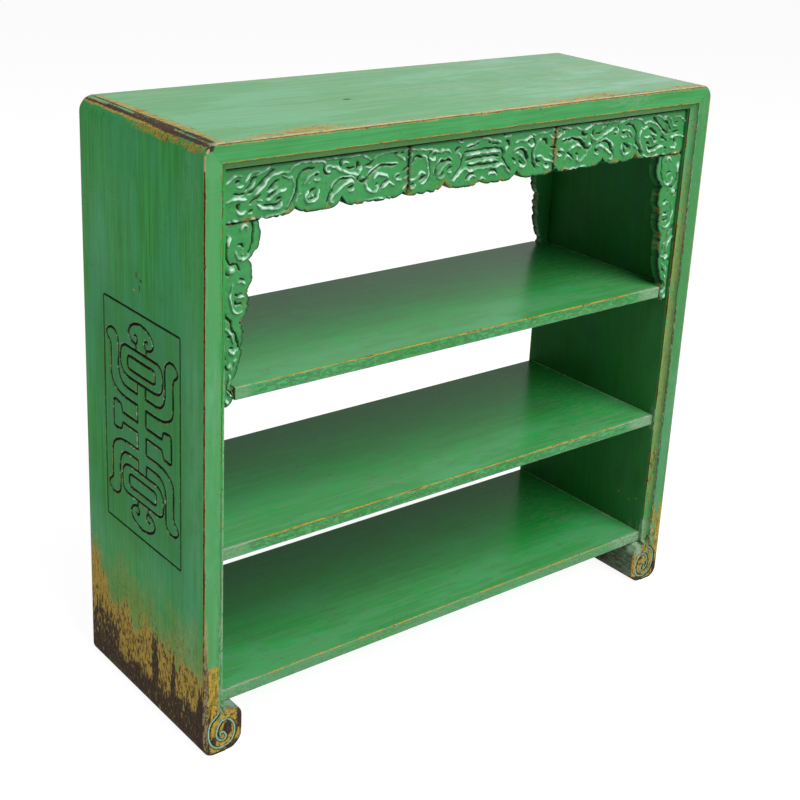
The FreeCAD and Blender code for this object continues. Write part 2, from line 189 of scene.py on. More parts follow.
APRON_HOLLOWS = (
    (1.9, (-10, 49, 25, 49, 38, 47)),
    (1.6, (-10, 63, 20, 62, 42, 61)),
    (1.6, (-10, 36, 14, 36, 36, 37)),
    (1.7, (42, 62, 46, 52, 47, 42, 52, 35, 57, 27, 63, 21, 69, 18)),
    (2.2, (11, 74, 16, 71)),
    (1.4, (20, 71, 35, 68)),
    (2.4, (46, 83, 51, 83)),
    (3.6, (53, 72, 58, 70, 62, 64)),
    (2.4, (106, 67, 109, 62)),
    (2.8, (72, 50, 82, 53, 92, 53, 100, 47, 104, 38, 104, 30)),
    (2.2, (68, 40, 73, 38, 79, 35)),
    (2.6, (86, 33, 89, 29, 92, 27)),
    (2.0, (15, 22, 23, 23, 31, 21, 35, 14)),
    (1.5, (115, 72, 121, 62, 118, 50, 117, 38, 119, 25, 126, 15)),
    (2.8, (136, 64, 143, 66, 150, 62, 153, 54)),
    (2.8, (126, 32, 131, 28, 138, 25)),
    (1.9, (150, 21, 156, 19)),
    (1.5, (160, 51, 168, 49, 175, 45)),
    (2.2, (174, 76, 180, 75)),
    (1.9, (187, 77, 195, 76)),
    (2.5, (237, 70, 240, 65, 246, 63, 253, 63)),
    (3.0, (189, 57, 205, 59, 218, 59, 228, 56, 236, 51, 242, 45, 248, 39, 254, 37, 261, 38)),
    (1.9, (263, 48, 266, 44, 263, 39)),
    (2.0, (180, 38, 187, 36)),
    (1.9, (203, 34, 210, 31, 215, 27, 220, 20)),
    (2.6, (225, 31, 230, 28)),
    (3.2, (266, 70, 265, 64, 268, 60)),
    (2.0, (273, 63, 281, 62, 288, 65)),
    (1.8, (297, 77, 301, 72, 299, 67)),
    (1.6, (329, 71, 332, 64, 328, 57, 321, 56)),
    (2.2, (284, 45, 293, 47, 302, 46, 309, 42, 314, 35, 316, 27)),
    (2.6, (273, 33, 278, 31, 284, 30)),
    (1.9, (319, 28, 322, 20, 325, 11)),
    (2.2, (350, 70, 360, 71, 368, 69, 376, 63, 381, 55, 382, 43, 384, 33, 389, 25, 396, 16,
           402, 9)),
    (2.7, (343, 58, 350, 56)),
    (2.5, (348, 37, 354, 35, 359, 31, 363, 26)),
    (1.6, (348, 28, 351, 22, 358, 21)),
    (2.9, (417, 60, 424, 55, 430, 50, 437, 45)),
    (1.7, (424, 43, 430, 37, 437, 34)),
    (2.5, (411, 30, 418, 29, 421, 26)),
    (2.0, (412, 26, 418, 21, 426, 19, 436, 21, 445, 23)),
    (2.0, (425, 78, 430, 74, 436, 69, 442, 64, 448, 58, 455, 52, 463, 47, 472, 44)),
    (2.2, (457, 68, 463, 66, 468, 61)),
    (1.6, (468, 61, 472, 54, 478, 50)),
    (2.5, (487, 65, 495, 63)),
    (2.9, (487, 31, 491, 26, 489, 21)),
    (1.9, (464, 17, 471, 13)),
    (1.8, (449, 39, 456, 35, 463, 32, 469, 28)),
    (1.6, (478, 45, 488, 45, 498, 46)),
)
# On a spandrel x is counted from the side board and z down from the apron.
SPANDREL_RIDGES = (
    (2.3, (30, 13, 33, 6, 37, 4, 43, 8, 42, 13)),
    (3.0, (22, 44, 24, 52, 28, 56, 35, 57, 42, 54, 48, 47)),
    (2.2, (34, 52, 37, 50)),
    (4.0, (9, 16, 11, 24, 9, 34)),
    (2.4, (26, 95, 32, 94, 39, 98)),
    (2.2, (19, 92, 15, 103, 12, 116, 14, 129, 20, 140, 28, 144, 35, 141)),
    (1.9, (25, 116, 30, 119, 38, 119)),
    (2.3, (3, 166, 9, 171, 14, 177, 17, 185, 19, 193)),
    (1.9, (37, 160, 39, 168, 39, 181)),
    (3.3, (11, 205, 16, 209, 21, 207, 28, 205)),
    (4.0, (20, 222, 25, 219)),
    (6.0, (12, 231)),
    (6.5, (16, 73)),
    (3.0, (12, 244, 11, 256, 9, 266)),
    (3.0, (8, 272, 13, 276, 18, 282)),
    (4.5, (8, 289)),
)
SPANDREL_HOLLOWS = (
    (1.7, (52, 1, 54, 15, 53, 30, 51, 40, 45, 50)),
    (2.7, (27, 34, 32, 35, 36, 40)),
    (1.7, (5, 29, 6, 47, 11, 61, 19, 65, 26, 67, 30, 75)),
    (2.0, (4, 71, 7, 78, 12, 82)),
    (2.3, (30, 88, 34, 90, 39, 93)),
    (1.7, (23, 112, 27, 115, 35, 115)),
    (2.3, (23, 123, 25, 129, 34, 131)),
    (2.4, (4, 142, 8, 149, 15, 157, 16, 166, 20, 174, 25, 183, 28, 192, 29, 201)),
    (1.5, (30, 160, 35, 163)),
    (1.8, (9, 180, 13, 184)),
    (2.0, (12, 201, 18, 200)),
    (2.0, (4, 212, 6, 218)),
    (1.7, (4, 228, 8, 237)),
    (1.5, (20, 228, 16, 236)),
    (1.3, (8, 269, 14, 274, 20, 282)),
)
# The strapwork on the outer faces: one quarter, x and z from its middle.
STRAP_LINES = (
    (2.4, (127, -10, 127, 205)),
    (2.4, (-10, 205, 127, 205)),
    (3.2, (17, 137, 18, 147, 27, 150, 36, 155, 41, 164, 35, 175, 21, 183, 0, 187, -12, 186)),
    (3.2, (18, 148, 13, 154, 13, 161, 19, 164, 25, 161)),
    (3.2, (-10, 137, 40, 137, 56, 136, 67, 129, 71, 114, 69, 98, 61, 87, 50, 83, 30, 82, -10, 82)),
    (3.2, (-10, 121, 20, 121, 38, 121, 45, 118, 46, 109, 45, 100, 38, 97, 20, 97, -10, 97)),
    (3.2, (14, 84, 14, 60)),
    (3.2, (12, 61, 45, 61, 60, 63, 72, 72, 78, 88, 78, 110, 78, 132, 81, 144, 91, 152, 104, 153,
           116, 147)),
    (3.2, (12, 41, 50, 41, 72, 43, 90, 50, 101, 60, 104, 75, 104, 100, 104, 118, 107, 127,
           114, 132, 119, 140, 115, 148)),
    (3.2, (14, 43, 14, 8)),
    (3.2, (12, 9.5, 68, 9.5)),
    (3.2, (67, 8, 69, 17, 73, 23, 84, 25, 96, 24, 98, 14, 98, -10)),
)
# The scroll on a foot, x from the case's outer side and z from the floor.
FOOT_SPIRAL = (
    (3.5, (32, 78, 24, 71, 16, 64, 12, 54, 11, 43, 12, 32, 16, 21, 23, 13, 32, 9, 40, 9, 49, 11,
           57, 16, 61, 24, 63, 35, 61, 46, 56, 55, 50, 60, 42, 61, 36, 59, 32, 54, 29, 48, 27, 40,
           27, 33, 31, 26, 37, 22, 43, 22, 46, 27, 44, 33, 40, 38, 36, 38, 34, 35, 37, 31)),
)
FOOT_CRACKS = (
    (1.2, (33, 103, 34, 92, 38, 83, 41, 74, 43, 68)),
    (0.9, (12, 100, 22, 98, 27, 95)),
)


def linear(code: str) -> tuple[float, float, float, float]:
    """Turn an sRGB colour into a linear one.

    Args:
        code: six hex digits.

    Returns:
        Linear red, green and blue, and an alpha of 1.
    """
    values = np.array([int(code[at:at + 2], 16) for at in (0, 2, 4)]) / 255
    dark, light = values / 12.92, ((values + 0.055) / 1.055) ** 2.4
    return (*np.where(values <= 0.04045, dark, light).tolist(), 1.0)


def smooth_line(points: np.ndarray) -> np.ndarray:
    """Draw a Catmull-Rom line through points.

    Between p1 and p2 it is half of 2 p1 + (p2 - p0) t + (2 p0 - 5 p1 + 4 p2 - p3) t^2
    + (3 p1 - p0 - 3 p2 + p3) t^3, with t from 0 to 1.

    Args:
        points: two or more points in order, or a single one.

    Returns:
        Points of the line at even steps along it.
    """
    if len(points) < 2:
        return points
    ends = 2 * points[[0, -1]] - points[[1, -2]]
    padded = np.vstack([ends[:1], points, ends[1:]])
    p0, p1, p2, p3 = padded[:-3], padded[1:-2], padded[2:-1], padded[3:]
    t = np.linspace(0, 1, SPLINE_SAMPLES, endpoint=False)[:, None, None]
    line = 0.5 * (2 * p1 + (p2 - p0) * t + (2 * p0 - 5 * p1 + 4 * p2 - p3) * t ** 2
                  + (3 * p1 - p0 - 3 * p2 + p3) * t ** 3)
    line = np.vstack([line.transpose(1, 0, 2).reshape(-1, 2), points[-1:]])
    run = run_along(line)
    even = np.arange(0, run[-1] + LINE_STEP, LINE_STEP)
    return np.stack([np.interp(even, run, line[:, at]) for at in (0, 1)], axis=1)


def run_along(line: np.ndarray) -> np.ndarray:
    """How far along a line each of its points lies."""
    return np.concatenate([[0], np.cumsum(np.hypot(*np.diff(line, axis=0).T))])


def stroke_field(x: np.ndarray, z: np.ndarray, strokes: tuple) -> np.ndarray:
    """Work out how far each point lies inside a set of strokes.

    A stroke's half width narrows near its two ends, as the root of the distance from the end.
    With q the least quotient of a point's distance to the line and the half width there, the
    value is 1 - q^2, or 0 where that is negative. The set's value is the largest.

    Args:
        x: places across, in millimetres.
        z: places up, in millimetres.
        strokes: rows of a half width and the line's x, z, x, z, ...

    Returns:
        An array like x, from 0 outside all strokes to 1 on their lines.
    """
    value = np.zeros(x.shape)
    for half_width, places in strokes:
        line = smooth_line(np.reshape(np.array(places, float), (-1, 2)))
        run = run_along(line)
        to_end = np.clip(np.minimum(run, run[-1] - run) / (TAPER * half_width), TAPER_LEAST, 1)
        width = half_width * (np.sqrt(to_end) if len(line) > 1 else 1.0)
        low, high = line.min(axis=0) - half_width, line.max(axis=0) + half_width
        near = (x > low[0]) & (x < high[0]) & (z > low[1]) & (z < high[1])
        gap = np.hypot(x[near][:, None] - line[:, 0], z[near][:, None] - line[:, 1])
        if gap.size:
            value[near] = np.maximum(value[near], 1 - ((gap / width).min(axis=1)) ** 2)
    return value


def clear_step(value: np.ndarray, low: float, high: float) -> np.ndarray:
    """A smooth step of a value, t^2 (3 - 2 t), from 0 at low to 1 at high."""
    share = np.clip((value - low) / (high - low), 0, 1)
    return share * share * (3 - 2 * share)


@dataclass(frozen=True)
class Mark:
    """How a measure marks the finish: by up to a share, from one value of it to another."""

    share: float
    low: float
    high: float

    def of(self, measure: np.ndarray) -> np.ndarray:
        """How strong the mark is at each value of the measure, from 0 to its share."""
        return self.share * clear_step(measure, self.low, self.high)


def outlined(value: np.ndarray) -> np.ndarray:
    """The outline of strokes: 1 along it, and 0 outside them and far inside."""
    return np.clip(OUTLINE_GAIN - OUTLINE_GAIN * np.abs(value - OUTLINE) / OUTLINE, 0, 1)


def blur_weights(count: int, step: float, width: float) -> np.ndarray:
    """Work out weights that blur a row: a Gaussian of the distance, made to sum to 1.

    Args:
        count: how many values the row has.
        step: their spacing.
        width: the Gaussian's width.

    Returns:
        A row of weights for each blurred value.
    """
    at = np.arange(count) * step
    weights = np.exp(-0.5 * ((at[:, None] - at[None, :]) / width) ** 2)
    return weights / weights.sum(axis=1, keepdims=True)


def blurred(grid: np.ndarray, steps: tuple[float, float], width: float) -> np.ndarray:
    """Blur a grid of values by a Gaussian.

    Args:
        grid: rows and columns of values.
        steps: the spacing of the rows and of the columns.
        width: the Gaussian's width, in the same unit.

    Returns:
        The blurred grid.
    """
    rows, columns = grid.shape
    return (blur_weights(rows, steps[0], width) @ grid
            @ blur_weights(columns, steps[1], width).T)


def unevenness(shape: tuple[int, int], steps: tuple[float, float], width: float,
               seed: int) -> np.ndarray:
    """Soft hand-made unevenness: seeded noise, blurred and scaled to a spread of 1."""
    noise = blurred(np.random.default_rng(seed).normal(size=shape), steps, width)
    return noise / noise.std()


def spread_with(places: np.ndarray, fixed: np.ndarray) -> np.ndarray:
    """Move the nearest of some places onto each fixed place within their range.

    Args:
        places: the places.
        fixed: the fixed places.

    Returns:
        The places, as many as before.
    """
    places = places.copy()
    for place in fixed[(fixed > places.min()) & (fixed < places.max())]:
        places[np.abs(places - place).argmin()] = place
    return places


def grid_faces(index: np.ndarray) -> list[list[int]]:
    """The quads between neighbouring points of a grid of point numbers."""
    corners = (index[:-1, :-1], index[:-1, 1:], index[1:, 1:], index[1:, :-1])
    return np.stack([corner.ravel() for corner in corners], axis=1).tolist()


def grid_border(index: np.ndarray) -> np.ndarray:
    """The point numbers round a grid: first row, last column, last row back, first column."""
    return np.concatenate([index[0, :-1], index[:-1, -1], index[-1, :0:-1], index[:0:-1, 0]])


def strip_faces(near: np.ndarray, far: np.ndarray) -> list[list[int]]:
    """The quads between two closed loops of point numbers."""
    return np.stack([near, far, np.roll(far, -1), np.roll(near, -1)], axis=1).tolist()


@dataclass
class Surface:
    """A closed surface: its points, its faces, and the fields that its finish reads."""

    points: np.ndarray
    faces: list[list[int]]
    fields: dict[str, np.ndarray] = field(default_factory=dict)

    def mirrored(self, axis: Axis) -> "Surface":
        """The same surface on the other side of the cabinet's middle, across an axis."""
        sign = np.where(np.arange(3) == axis.value, -1, 1)
        return Surface(self.points * sign, [face[::-1] for face in self.faces], self.fields)

    def make(self, name: str, nodes: tuple[str, ...], slot: str,
             material: bpy.types.Material, crease: float) -> bpy.types.Object:
        """Make the piece and report it.

        Args:
            name: the piece's name.
            nodes: the solids that it stands for.
            slot: the material slot that it takes its finish from; not used.
            material: its material.
            crease: edges that turn more than this, in degrees, are sharp.

        Returns:
            The new object.
        """
        mesh = bpy.data.meshes.new(name)
        mesh.from_pydata(self.points.tolist(), [], self.faces)
        for key, values in self.fields.items():
            layer = mesh.attributes.new(key, "FLOAT", "POINT")
            layer.data.foreach_set("value", values.astype(np.float32))
        work = bmesh.new()
        work.from_mesh(mesh)
        bmesh.ops.remove_doubles(work, verts=work.verts, dist=WELD)
        bmesh.ops.dissolve_degenerate(work, edges=work.edges, dist=WELD)
        work.to_mesh(mesh)
        work.free()
        mesh.materials.append(material)
        mesh.shade_smooth()
        mesh.set_sharp_from_angle(angle=math.radians(crease))
        piece = bpy.data.objects.new(name, mesh)
        bpy.context.scene.collection.objects.link(piece)
        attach(piece, "root")
        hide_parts(*nodes)
        log.info("%s: %d faces", name, len(mesh.polygons))
        return piece


def board_from_front(front: np.ndarray, depth_y: float,
                     fields: dict[str, np.ndarray]) -> Surface:
    """Close a carved front into a board.

    The border of the grid is carried straight back to a plane, where one face closes it.

    Args:
        front: rows (upwards) and columns (to the right) of points.
        depth_y: the place of the board's back.
        fields: values for the points of the front. The rest of the board has 0.

    Returns:
        The board's surface.
    """
    index = np.arange(front.shape[0] * front.shape[1]).reshape(front.shape[:2])
    border = grid_border(index)
    points = front.reshape(-1, 3)
    back = points[border].copy()
    back[:, 1] = depth_y
    behind = len(points) + np.arange(len(border))
    faces = grid_faces(index) + strip_faces(border, behind) + [behind[::-1].tolist()]
    values = {key: np.concatenate([grid.ravel(), np.zeros(len(border))])
              for key, grid in fields.items()}
    return Surface(np.vstack([points, back]), faces, values)


# ---- Finishes ------------------------------------------------------------------------------

@dataclass(frozen=True)
class WearAndLight:
    """A place where the lacquer has changed or gone; some such places paint light and shade on it
    instead.

    Its border is where the distance from its middle, as a share of its size, is 1. Three noises
    move the border by shares of the size.

    Attributes:
        layer: what shows there.
        at: its middle.
        size: its half sizes. An edge has one endless size.
        ragged: how far the fine chips move its border.
        torn: how far the brush grain moves it.
        broken: how far slow noise moves it, which breaks up an edge.
        soft: how wide its border is.
        square: measured as a box and not as a ball.
        cover: the share of the place where it shows, in chips.
        veil: how much it hides what lies under it.
    """

    layer: Layer
    at: tuple[float, float, float]
    size: tuple[float, float, float]
    ragged: float = 0.3
    torn: float = 0.0
    broken: float = 0.0
    soft: float = 0.15
    square: bool = False
    cover: float = 1.0
    veil: float = 1.0

    def mirrored(self, axis: Axis) -> "WearAndLight":
        """The same place on the other side of the cabinet's middle, across an axis."""
        at = (-place if along is axis else place for along, place in zip(Axis, self.at))
        return replace(self, at=tuple(at))


def edge(layer: Layer, axis: Axis, at: tuple[float, float, float], reach: float,
         ragged: float = 0.3, broken: float = 0.5, cover: float = 1.0) -> WearAndLight:
    """A worn edge.

    Args:
        layer: what shows there.
        axis: the direction that it runs in.
        at: a point on it.
        reach: how far from it the wear goes.
        ragged: how far the fine chips move its border.
        broken: how far slow noise moves it.
        cover: the share of the edge where it shows, in chips.

    Returns:
        The worn place.
    """
    size = [reach] * 3
    size[axis.value] = ENDLESS
    return WearAndLight(layer, at, tuple(size), ragged, 0.0, broken, EDGE_SOFT, cover=cover)


@dataclass(frozen=True)
class Pattern:
    """A noise of the lacquer.

    Attributes:
        across: how wide its cells are, in metres.
        along: how long they are along the grain.
        detail: how many finer noises are laid over it.
        roughness: how strong those are.
    """

    across: float
    along: float
    detail: float
    roughness: float


# Worked out from the brush, the wood and the wear. Grit and chips are drawn coarser than they
# are, so that they show.
PATTERNS = {
    "grit": Pattern(3 * MM, 4 * MM, 3, 0.6),
    "chips": Pattern(5.5 * MM, 14 * MM, 6, 0.7),
    "streak": Pattern(2.2 * MM, 150 * MM, 4, 0.55),
    "strip": Pattern(7 * MM, 32 * MM, 6, 0.65),
    "brush": Pattern(13 * MM, 240 * MM, 4, 0.6),
    "breaks": Pattern(50 * MM, 50 * MM, 3, 0.5),
    "cloud": Pattern(90 * MM, 260 * MM, 4, 0.6),
}
# Between which values of its noise each mark sets in
STREAK_BAND = (0.42, 0.6)
FADED_BAND = (0.34, 0.66)
BRUSH_BAND = (0.46, 0.66)
PIT_BAND = (0.63, 0.68)
PITTED_BAND = (0.54, 0.6)
TINT_LOW, TINT_RISE = 0.49, 0.12
CHIP_MIDDLE, CHIP_SPREAD, CHIP_SOFT = 0.5, 0.35, 0.05
BRUSH_SHARE = 0.5       # how much of the brush marks shows
PIT_SHARE = 0.7         # how dark the dirt in the pits is
NOISE_GAIN = 4.0        # a noise times this, less its middle, runs from about -1 to 1
EDGE_SOFT = 0.25        # how soft a worn edge's border is
# How rough what isn't sound lacquer is, and how the streaks change the roughness and the film
HOLLOW_DULLNESS = 0.9
SHEEN_WAVE = 0.16
FILM_WAVE = 0.2
FILM_THICKNESS = 0.35 * MM
FILM_BUMP = 0.5
LACQUER_IOR = 1.5

# The colours of each layer: one, and others that come in where a noise is high, and where it
# is higher still when a third value says by how much
LAYER_TINTS = {
    # The faded colour also stands for painted light and sheen on the shelves
    Layer.FADED: ("559c60", ("cloud", "65ab7a"), ("brush", "7bb283")),
    Layer.BLEACHED: ("7aa98b", ("cloud", "8fbfaa"), ("brush", "a4b898")),
    # The grime's colour also stands for painted shade inside the bays, on the shelves' backs and
    # in the cove
    Layer.GRIME_AND_SHADE: ("2d6634", ("cloud", "2c603c"), ("chips", "386a34")),
    Layer.GROUND: ("bb973a", ("strip", "857032", 0.03), ("chips", "58461f", 0.03),
                   ("grit", "6c7c3c", 0.04)),
    Layer.BARE: ("322922", ("strip", "4e3026"), ("chips", "625c34", 0.06)),
    Layer.PRIMER: ("bda47c", ("chips", "8f8a6e")),
    # The rubbed colour also stands for painted sheen streaks on the shelves
    Layer.RUBBED: ("8fa78a", ("chips", "688f68")),
}
LAYER_DULLNESS = {Layer.GROUND: 0.58, Layer.BARE: 0.72, Layer.RUBBED: 0.6}


@dataclass(frozen=True)
class Lacquer:
    """Brushed lacquer over an ochre ground on dark elm.

    Satin, with soft reflections, streaked along the brush, and gone in places down to the ground
    or the wood, which are dull.

    Attributes:
        name: the material's name.
        base: its main colour.
        deep: the colour of its darker streaks.
        pale: the colour where it has faded.
        grain: the direction of the brush and of the wood.
        faded: how much of it has faded, from 0 to 1.
        streaked: how clearly the brush shows, from 0 to 1.
        roughness: the roughness of sound lacquer.
        worn: the places where it has gone or changed, and where light and shade are painted on it.
        mint: the colour of paint rubbed over crests and left in scrolls, and of painted
            highlights.
        dirt_and_shade: the colour of grime in hollows and pits, and of painted shade.
        specular: its gloss, as the shader's specular level.
    """

    name: str
    base: str
    deep: str
    pale: str
    grain: Axis
    faded: float
    streaked: float
    roughness: float
    worn: tuple[WearAndLight, ...] = ()
    mint: str = "b5e3c1"
    dirt_and_shade: str = "10291a"
    specular: float = 0.2

    def material(self) -> bpy.types.Material:
        """Build the material.

        Noises in object coordinates, and fields of the piece for what the carver and the grime did
        and for painted light and shade, lay one colour over the other: streaks, fading, each layer
        of the wear and of painted light and shade, pits, and then the crests with painted
        highlights, the hollows with painted shade, and the paint left in scrolls with painted
        glints.

        Returns:
            The material.
        """
        result = bpy.data.materials.new(self.name)
        result.use_nodes = True
        tree = result.node_tree
        tree.nodes.clear()
        place = add_node(tree, "TexCoord").outputs["Object"]
        noise = {name: self.noise(tree, place, pattern) for name, pattern in PATTERNS.items()}
        movers = joined(tree, Join.POINT, noise["chips"], noise["strip"], noise["breaks"])
        movers = joined(tree, Join.POINT_LESS, movers, (0.5, 0.5, 0.5))
        # raised holds rubbed paint and painted highlights, hollow holds dirt and painted shade,
        # mint holds paint in scrolls and painted glints
        hollow, raised, rim, mint = (
            add_node(tree, "Attribute", attribute_name=name).outputs["Fac"]
            for name in ("hollow", "raised", "rim", "mint"))

        brushed = joined(tree, Join.STEP, noise["streak"], *STREAK_BAND)
        brushed = joined(tree, Join.TIMES, brushed, self.streaked)
        color = joined(tree, Join.BLEND, brushed, self.base, self.deep)
        faded = joined(tree, Join.STEP, noise["cloud"], *FADED_BAND)
        faded = joined(tree, Join.TIMES, faded, self.faded)
        color = joined(tree, Join.BLEND, faded, color, self.pale)
        masks = {}
        for layer in Layer:
            mask = self.layer_mask(tree, layer, place, movers, noise["chips"])
            if layer is Layer.GROUND:
                marks = joined(tree, Join.STEP, noise["brush"], *BRUSH_BAND)
                marks = joined(tree, Join.TIMES, marks, self.streaked * BRUSH_SHARE)
                color = joined(tree, Join.BLEND, marks, color, self.deep)
                mask = joined(tree, Join.LARGEST, mask, rim)
            tint, *others = LAYER_TINTS[layer]
            for pattern, other, *rarer in others:
                low = TINT_LOW + sum(rarer)
                share = joined(tree, Join.STEP, noise[pattern], low, low + TINT_RISE)
                tint = joined(tree, Join.BLEND, share, tint, other)
            color = joined(tree, Join.BLEND, mask, color, tint)
            masks[layer] = mask
        pits = joined(tree, Join.TIMES, joined(tree, Join.STEP, noise["grit"], *PIT_BAND),
                      joined(tree, Join.STEP, noise["breaks"], *PITTED_BAND))
        # Dirt in pits, then pale paint and painted highlights, dirt and painted shade, and paint
        # with painted glints
        for share, tint in ((joined(tree, Join.TIMES, pits, PIT_SHARE), self.dirt_and_shade),
                            (raised, self.mint), (hollow, self.dirt_and_shade), (mint, self.mint)):
            color = joined(tree, Join.BLEND, share, color, tint)

        roughness = joined(tree, Join.TIMES_PLUS, noise["streak"], SHEEN_WAVE,
                           self.roughness - SHEEN_WAVE / 2)
        dull_places = [(hollow, HOLLOW_DULLNESS)]
        dull_places += [(masks[layer], dullness) for layer, dullness in LAYER_DULLNESS.items()]
        for mask, dullness in dull_places:
            dull = joined(tree, Join.TIMES, mask, dullness)
            roughness = joined(tree, Join.LARGEST, roughness, dull)
        gone = joined(tree, Join.LARGEST, masks[Layer.GROUND], masks[Layer.BARE])
        film = joined(tree, Join.TIMES_PLUS, noise["streak"], FILM_WAVE * self.streaked, 1.0)
        film = joined(tree, Join.LESS, film, gone)
        bump = add_node(tree, "Bump", {"Strength": FILM_BUMP, "Distance": FILM_THICKNESS,
                                       "Height": film})
        shader = add_node(tree, "BsdfPrincipled", {
            "Base Color": color, "Roughness": roughness, "Normal": bump.outputs["Normal"],
            "IOR": LACQUER_IOR, "Specular IOR Level": self.specular})
        add_node(tree, "OutputMaterial", {"Surface": shader.outputs["BSDF"]})
        return result

    def noise(self, tree: bpy.types.NodeTree, place: bpy.types.NodeSocket,
              pattern: Pattern) -> bpy.types.NodeSocket:
        """Lay a pattern's noise along the grain.

        Args:
            tree: the node tree.
            place: the object coordinates.
            pattern: the pattern.

        Returns:
            The noise, from about 0 to 1.
        """
        cells = [1 / pattern.across] * 3
        cells[self.grain.value] = 1 / pattern.along
        return add_node(tree, "TexNoise", {
            "Vector": joined(tree, Join.POINT_TIMES, place, cells), "Scale": 1.0,
            "Detail": pattern.detail, "Roughness": pattern.roughness}).outputs[0]

    def layer_mask(self, tree: bpy.types.NodeTree, layer: Layer, place: bpy.types.NodeSocket,
                   movers: bpy.types.NodeSocket,
                   chips: bpy.types.NodeSocket) -> bpy.types.NodeSocket | float:
        """Where one layer shows: the largest of the masks of its places.

        A place's mask is a smooth step, across its border, of the noises' sum less the distance.
        A cover below 1 keeps that share of it, where the chips' noise is high.

        Args:
            tree: the node tree.
            layer: the layer.
            place: the object coordinates.
            movers: the three noises that move the borders, about 0.
            chips: the chips' noise.

        Returns:
            The mask, or 0 where the layer has no place.
        """
        result = None
        for worn in (worn for worn in self.worn if worn.layer is layer):
            away = joined(tree, Join.POINT_LESS, place, worn.at)
            share = joined(tree, Join.POINT_OVER, away, worn.size)
            if worn.square:
                positive = joined(tree, Join.POINT_POSITIVE, share)
                x, y, z = add_node(tree, "SeparateXYZ", {0: positive}).outputs
                share = joined(tree, Join.LARGEST, joined(tree, Join.LARGEST, x, y), z)
            else:
                share = joined(tree, Join.POINT_LENGTH, share)
            weights = [NOISE_GAIN * weight for weight in (worn.ragged, worn.torn, worn.broken)]
            moved = joined(tree, Join.POINT_DOT, movers, weights)
            inside = joined(tree, Join.LESS, moved, share)
            mask = joined(tree, Join.STEP, inside, -1 - worn.soft, -1 + worn.soft)
            if worn.cover < 1:
                level = CHIP_MIDDLE + CHIP_SPREAD * (0.5 - worn.cover)
                kept = joined(tree, Join.STEP, chips, level - CHIP_SOFT, level + CHIP_SOFT)
                mask = joined(tree, Join.TIMES, mask, kept)
            if worn.veil < 1:
                mask = joined(tree, Join.TIMES, mask, worn.veil)
            result = joined(tree, Join.LARGEST, result, mask) if result else mask
        return result or 0.0


def add_node(tree: bpy.types.NodeTree, kind: str, inputs: dict | None = None,
             **settings: object) -> bpy.types.Node:
    """Add a node, make its settings, and link or set its inputs.

    Args:
        tree: the node tree.
        kind: the node's type, without its leading "ShaderNode".
        inputs: for each input's name or number, the socket that feeds it or its value.
        settings: attributes of the node.

    Returns:
        The node.
    """
    node = tree.nodes.new("ShaderNode" + kind)
    for name, value in settings.items():
        setattr(node, name, value)
    for key, value in (inputs or {}).items():
        if isinstance(value, bpy.types.NodeSocket):
            tree.links.new(value, node.inputs[key])
        else:
            node.inputs[key].default_value = value
    return node


def joined(tree: bpy.types.NodeTree, how: Join, *values: object) -> bpy.types.NodeSocket:
    """Join values into one.

    Args:
        tree: the node tree.
        how: the way they are joined.
        values: sockets, numbers, points and colours, which are hex codes, in order.

    Returns:
        The joined value.
    """
    kind, inputs, output, settings = how.value
    values = [linear(value) if isinstance(value, str) else value for value in values]
    return add_node(tree, kind, dict(zip(inputs, values)), **settings).outputs[output]


FADED, BLEACHED, GRIME_AND_SHADE, GROUND, BARE, PRIMER, RUBBED = Layer

# The rounded edge between the top and the left side, which both boards' ends share
CORNER_WEAR = (
    WearAndLight(GROUND, (-0.548, 0, 1.052), (0.007, 0.215, 0.006), 0.45, 0, 0.4, 0.2, cover=0.85),
    WearAndLight(GROUND, (-0.5545, -0.08, 1.0445), (0.007, 0.1, 0.006), 0.6, 0, 0.55, 0.4, cover=0.55),
    WearAndLight(GROUND, (-0.533, -0.02, 1.058), (0.006, 0.2, 0.004), 0.5, 0, 0.4, 0.2, cover=0.75),
    WearAndLight(GROUND, (-0.526, -0.06, 1.058), (0.007, 0.14, 0.004), 0.5, 0, 0.5, 0.4, cover=0.5),
    WearAndLight(BARE, (-0.548, 0, 1.054), (0.0026, 0.23, 0.0028), 0.6, 0, 0.4),
    WearAndLight(BARE, (-0.547, 0.08, 1.0545), (0.0045, 0.06, 0.004), 0.7, 0, 0.6),
    WearAndLight(BARE, (-0.544, -0.02, 1.056), (0.0075, 0.055, 0.004), 0.8, 0, 0.7, cover=0.8),
    WearAndLight(BARE, (-0.549, -0.11, 1.0535), (0.005, 0.095, 0.0042), 0.6, 0, 0.3),
    WearAndLight(BARE, (-0.5385, 0, 1.0575), (0.0016, 0.23, 0.002), 0.6, 0, 0.5, cover=0.9),
    WearAndLight(BARE, (-0.54, -0.145, 1.057), (0.0045, 0.06, 0.003), 0.6, 0, 0.3),
    WearAndLight(BARE, (-0.55, -0.1985, 1.053), (0.008, 0.006, 0.0075), 0.35),
)
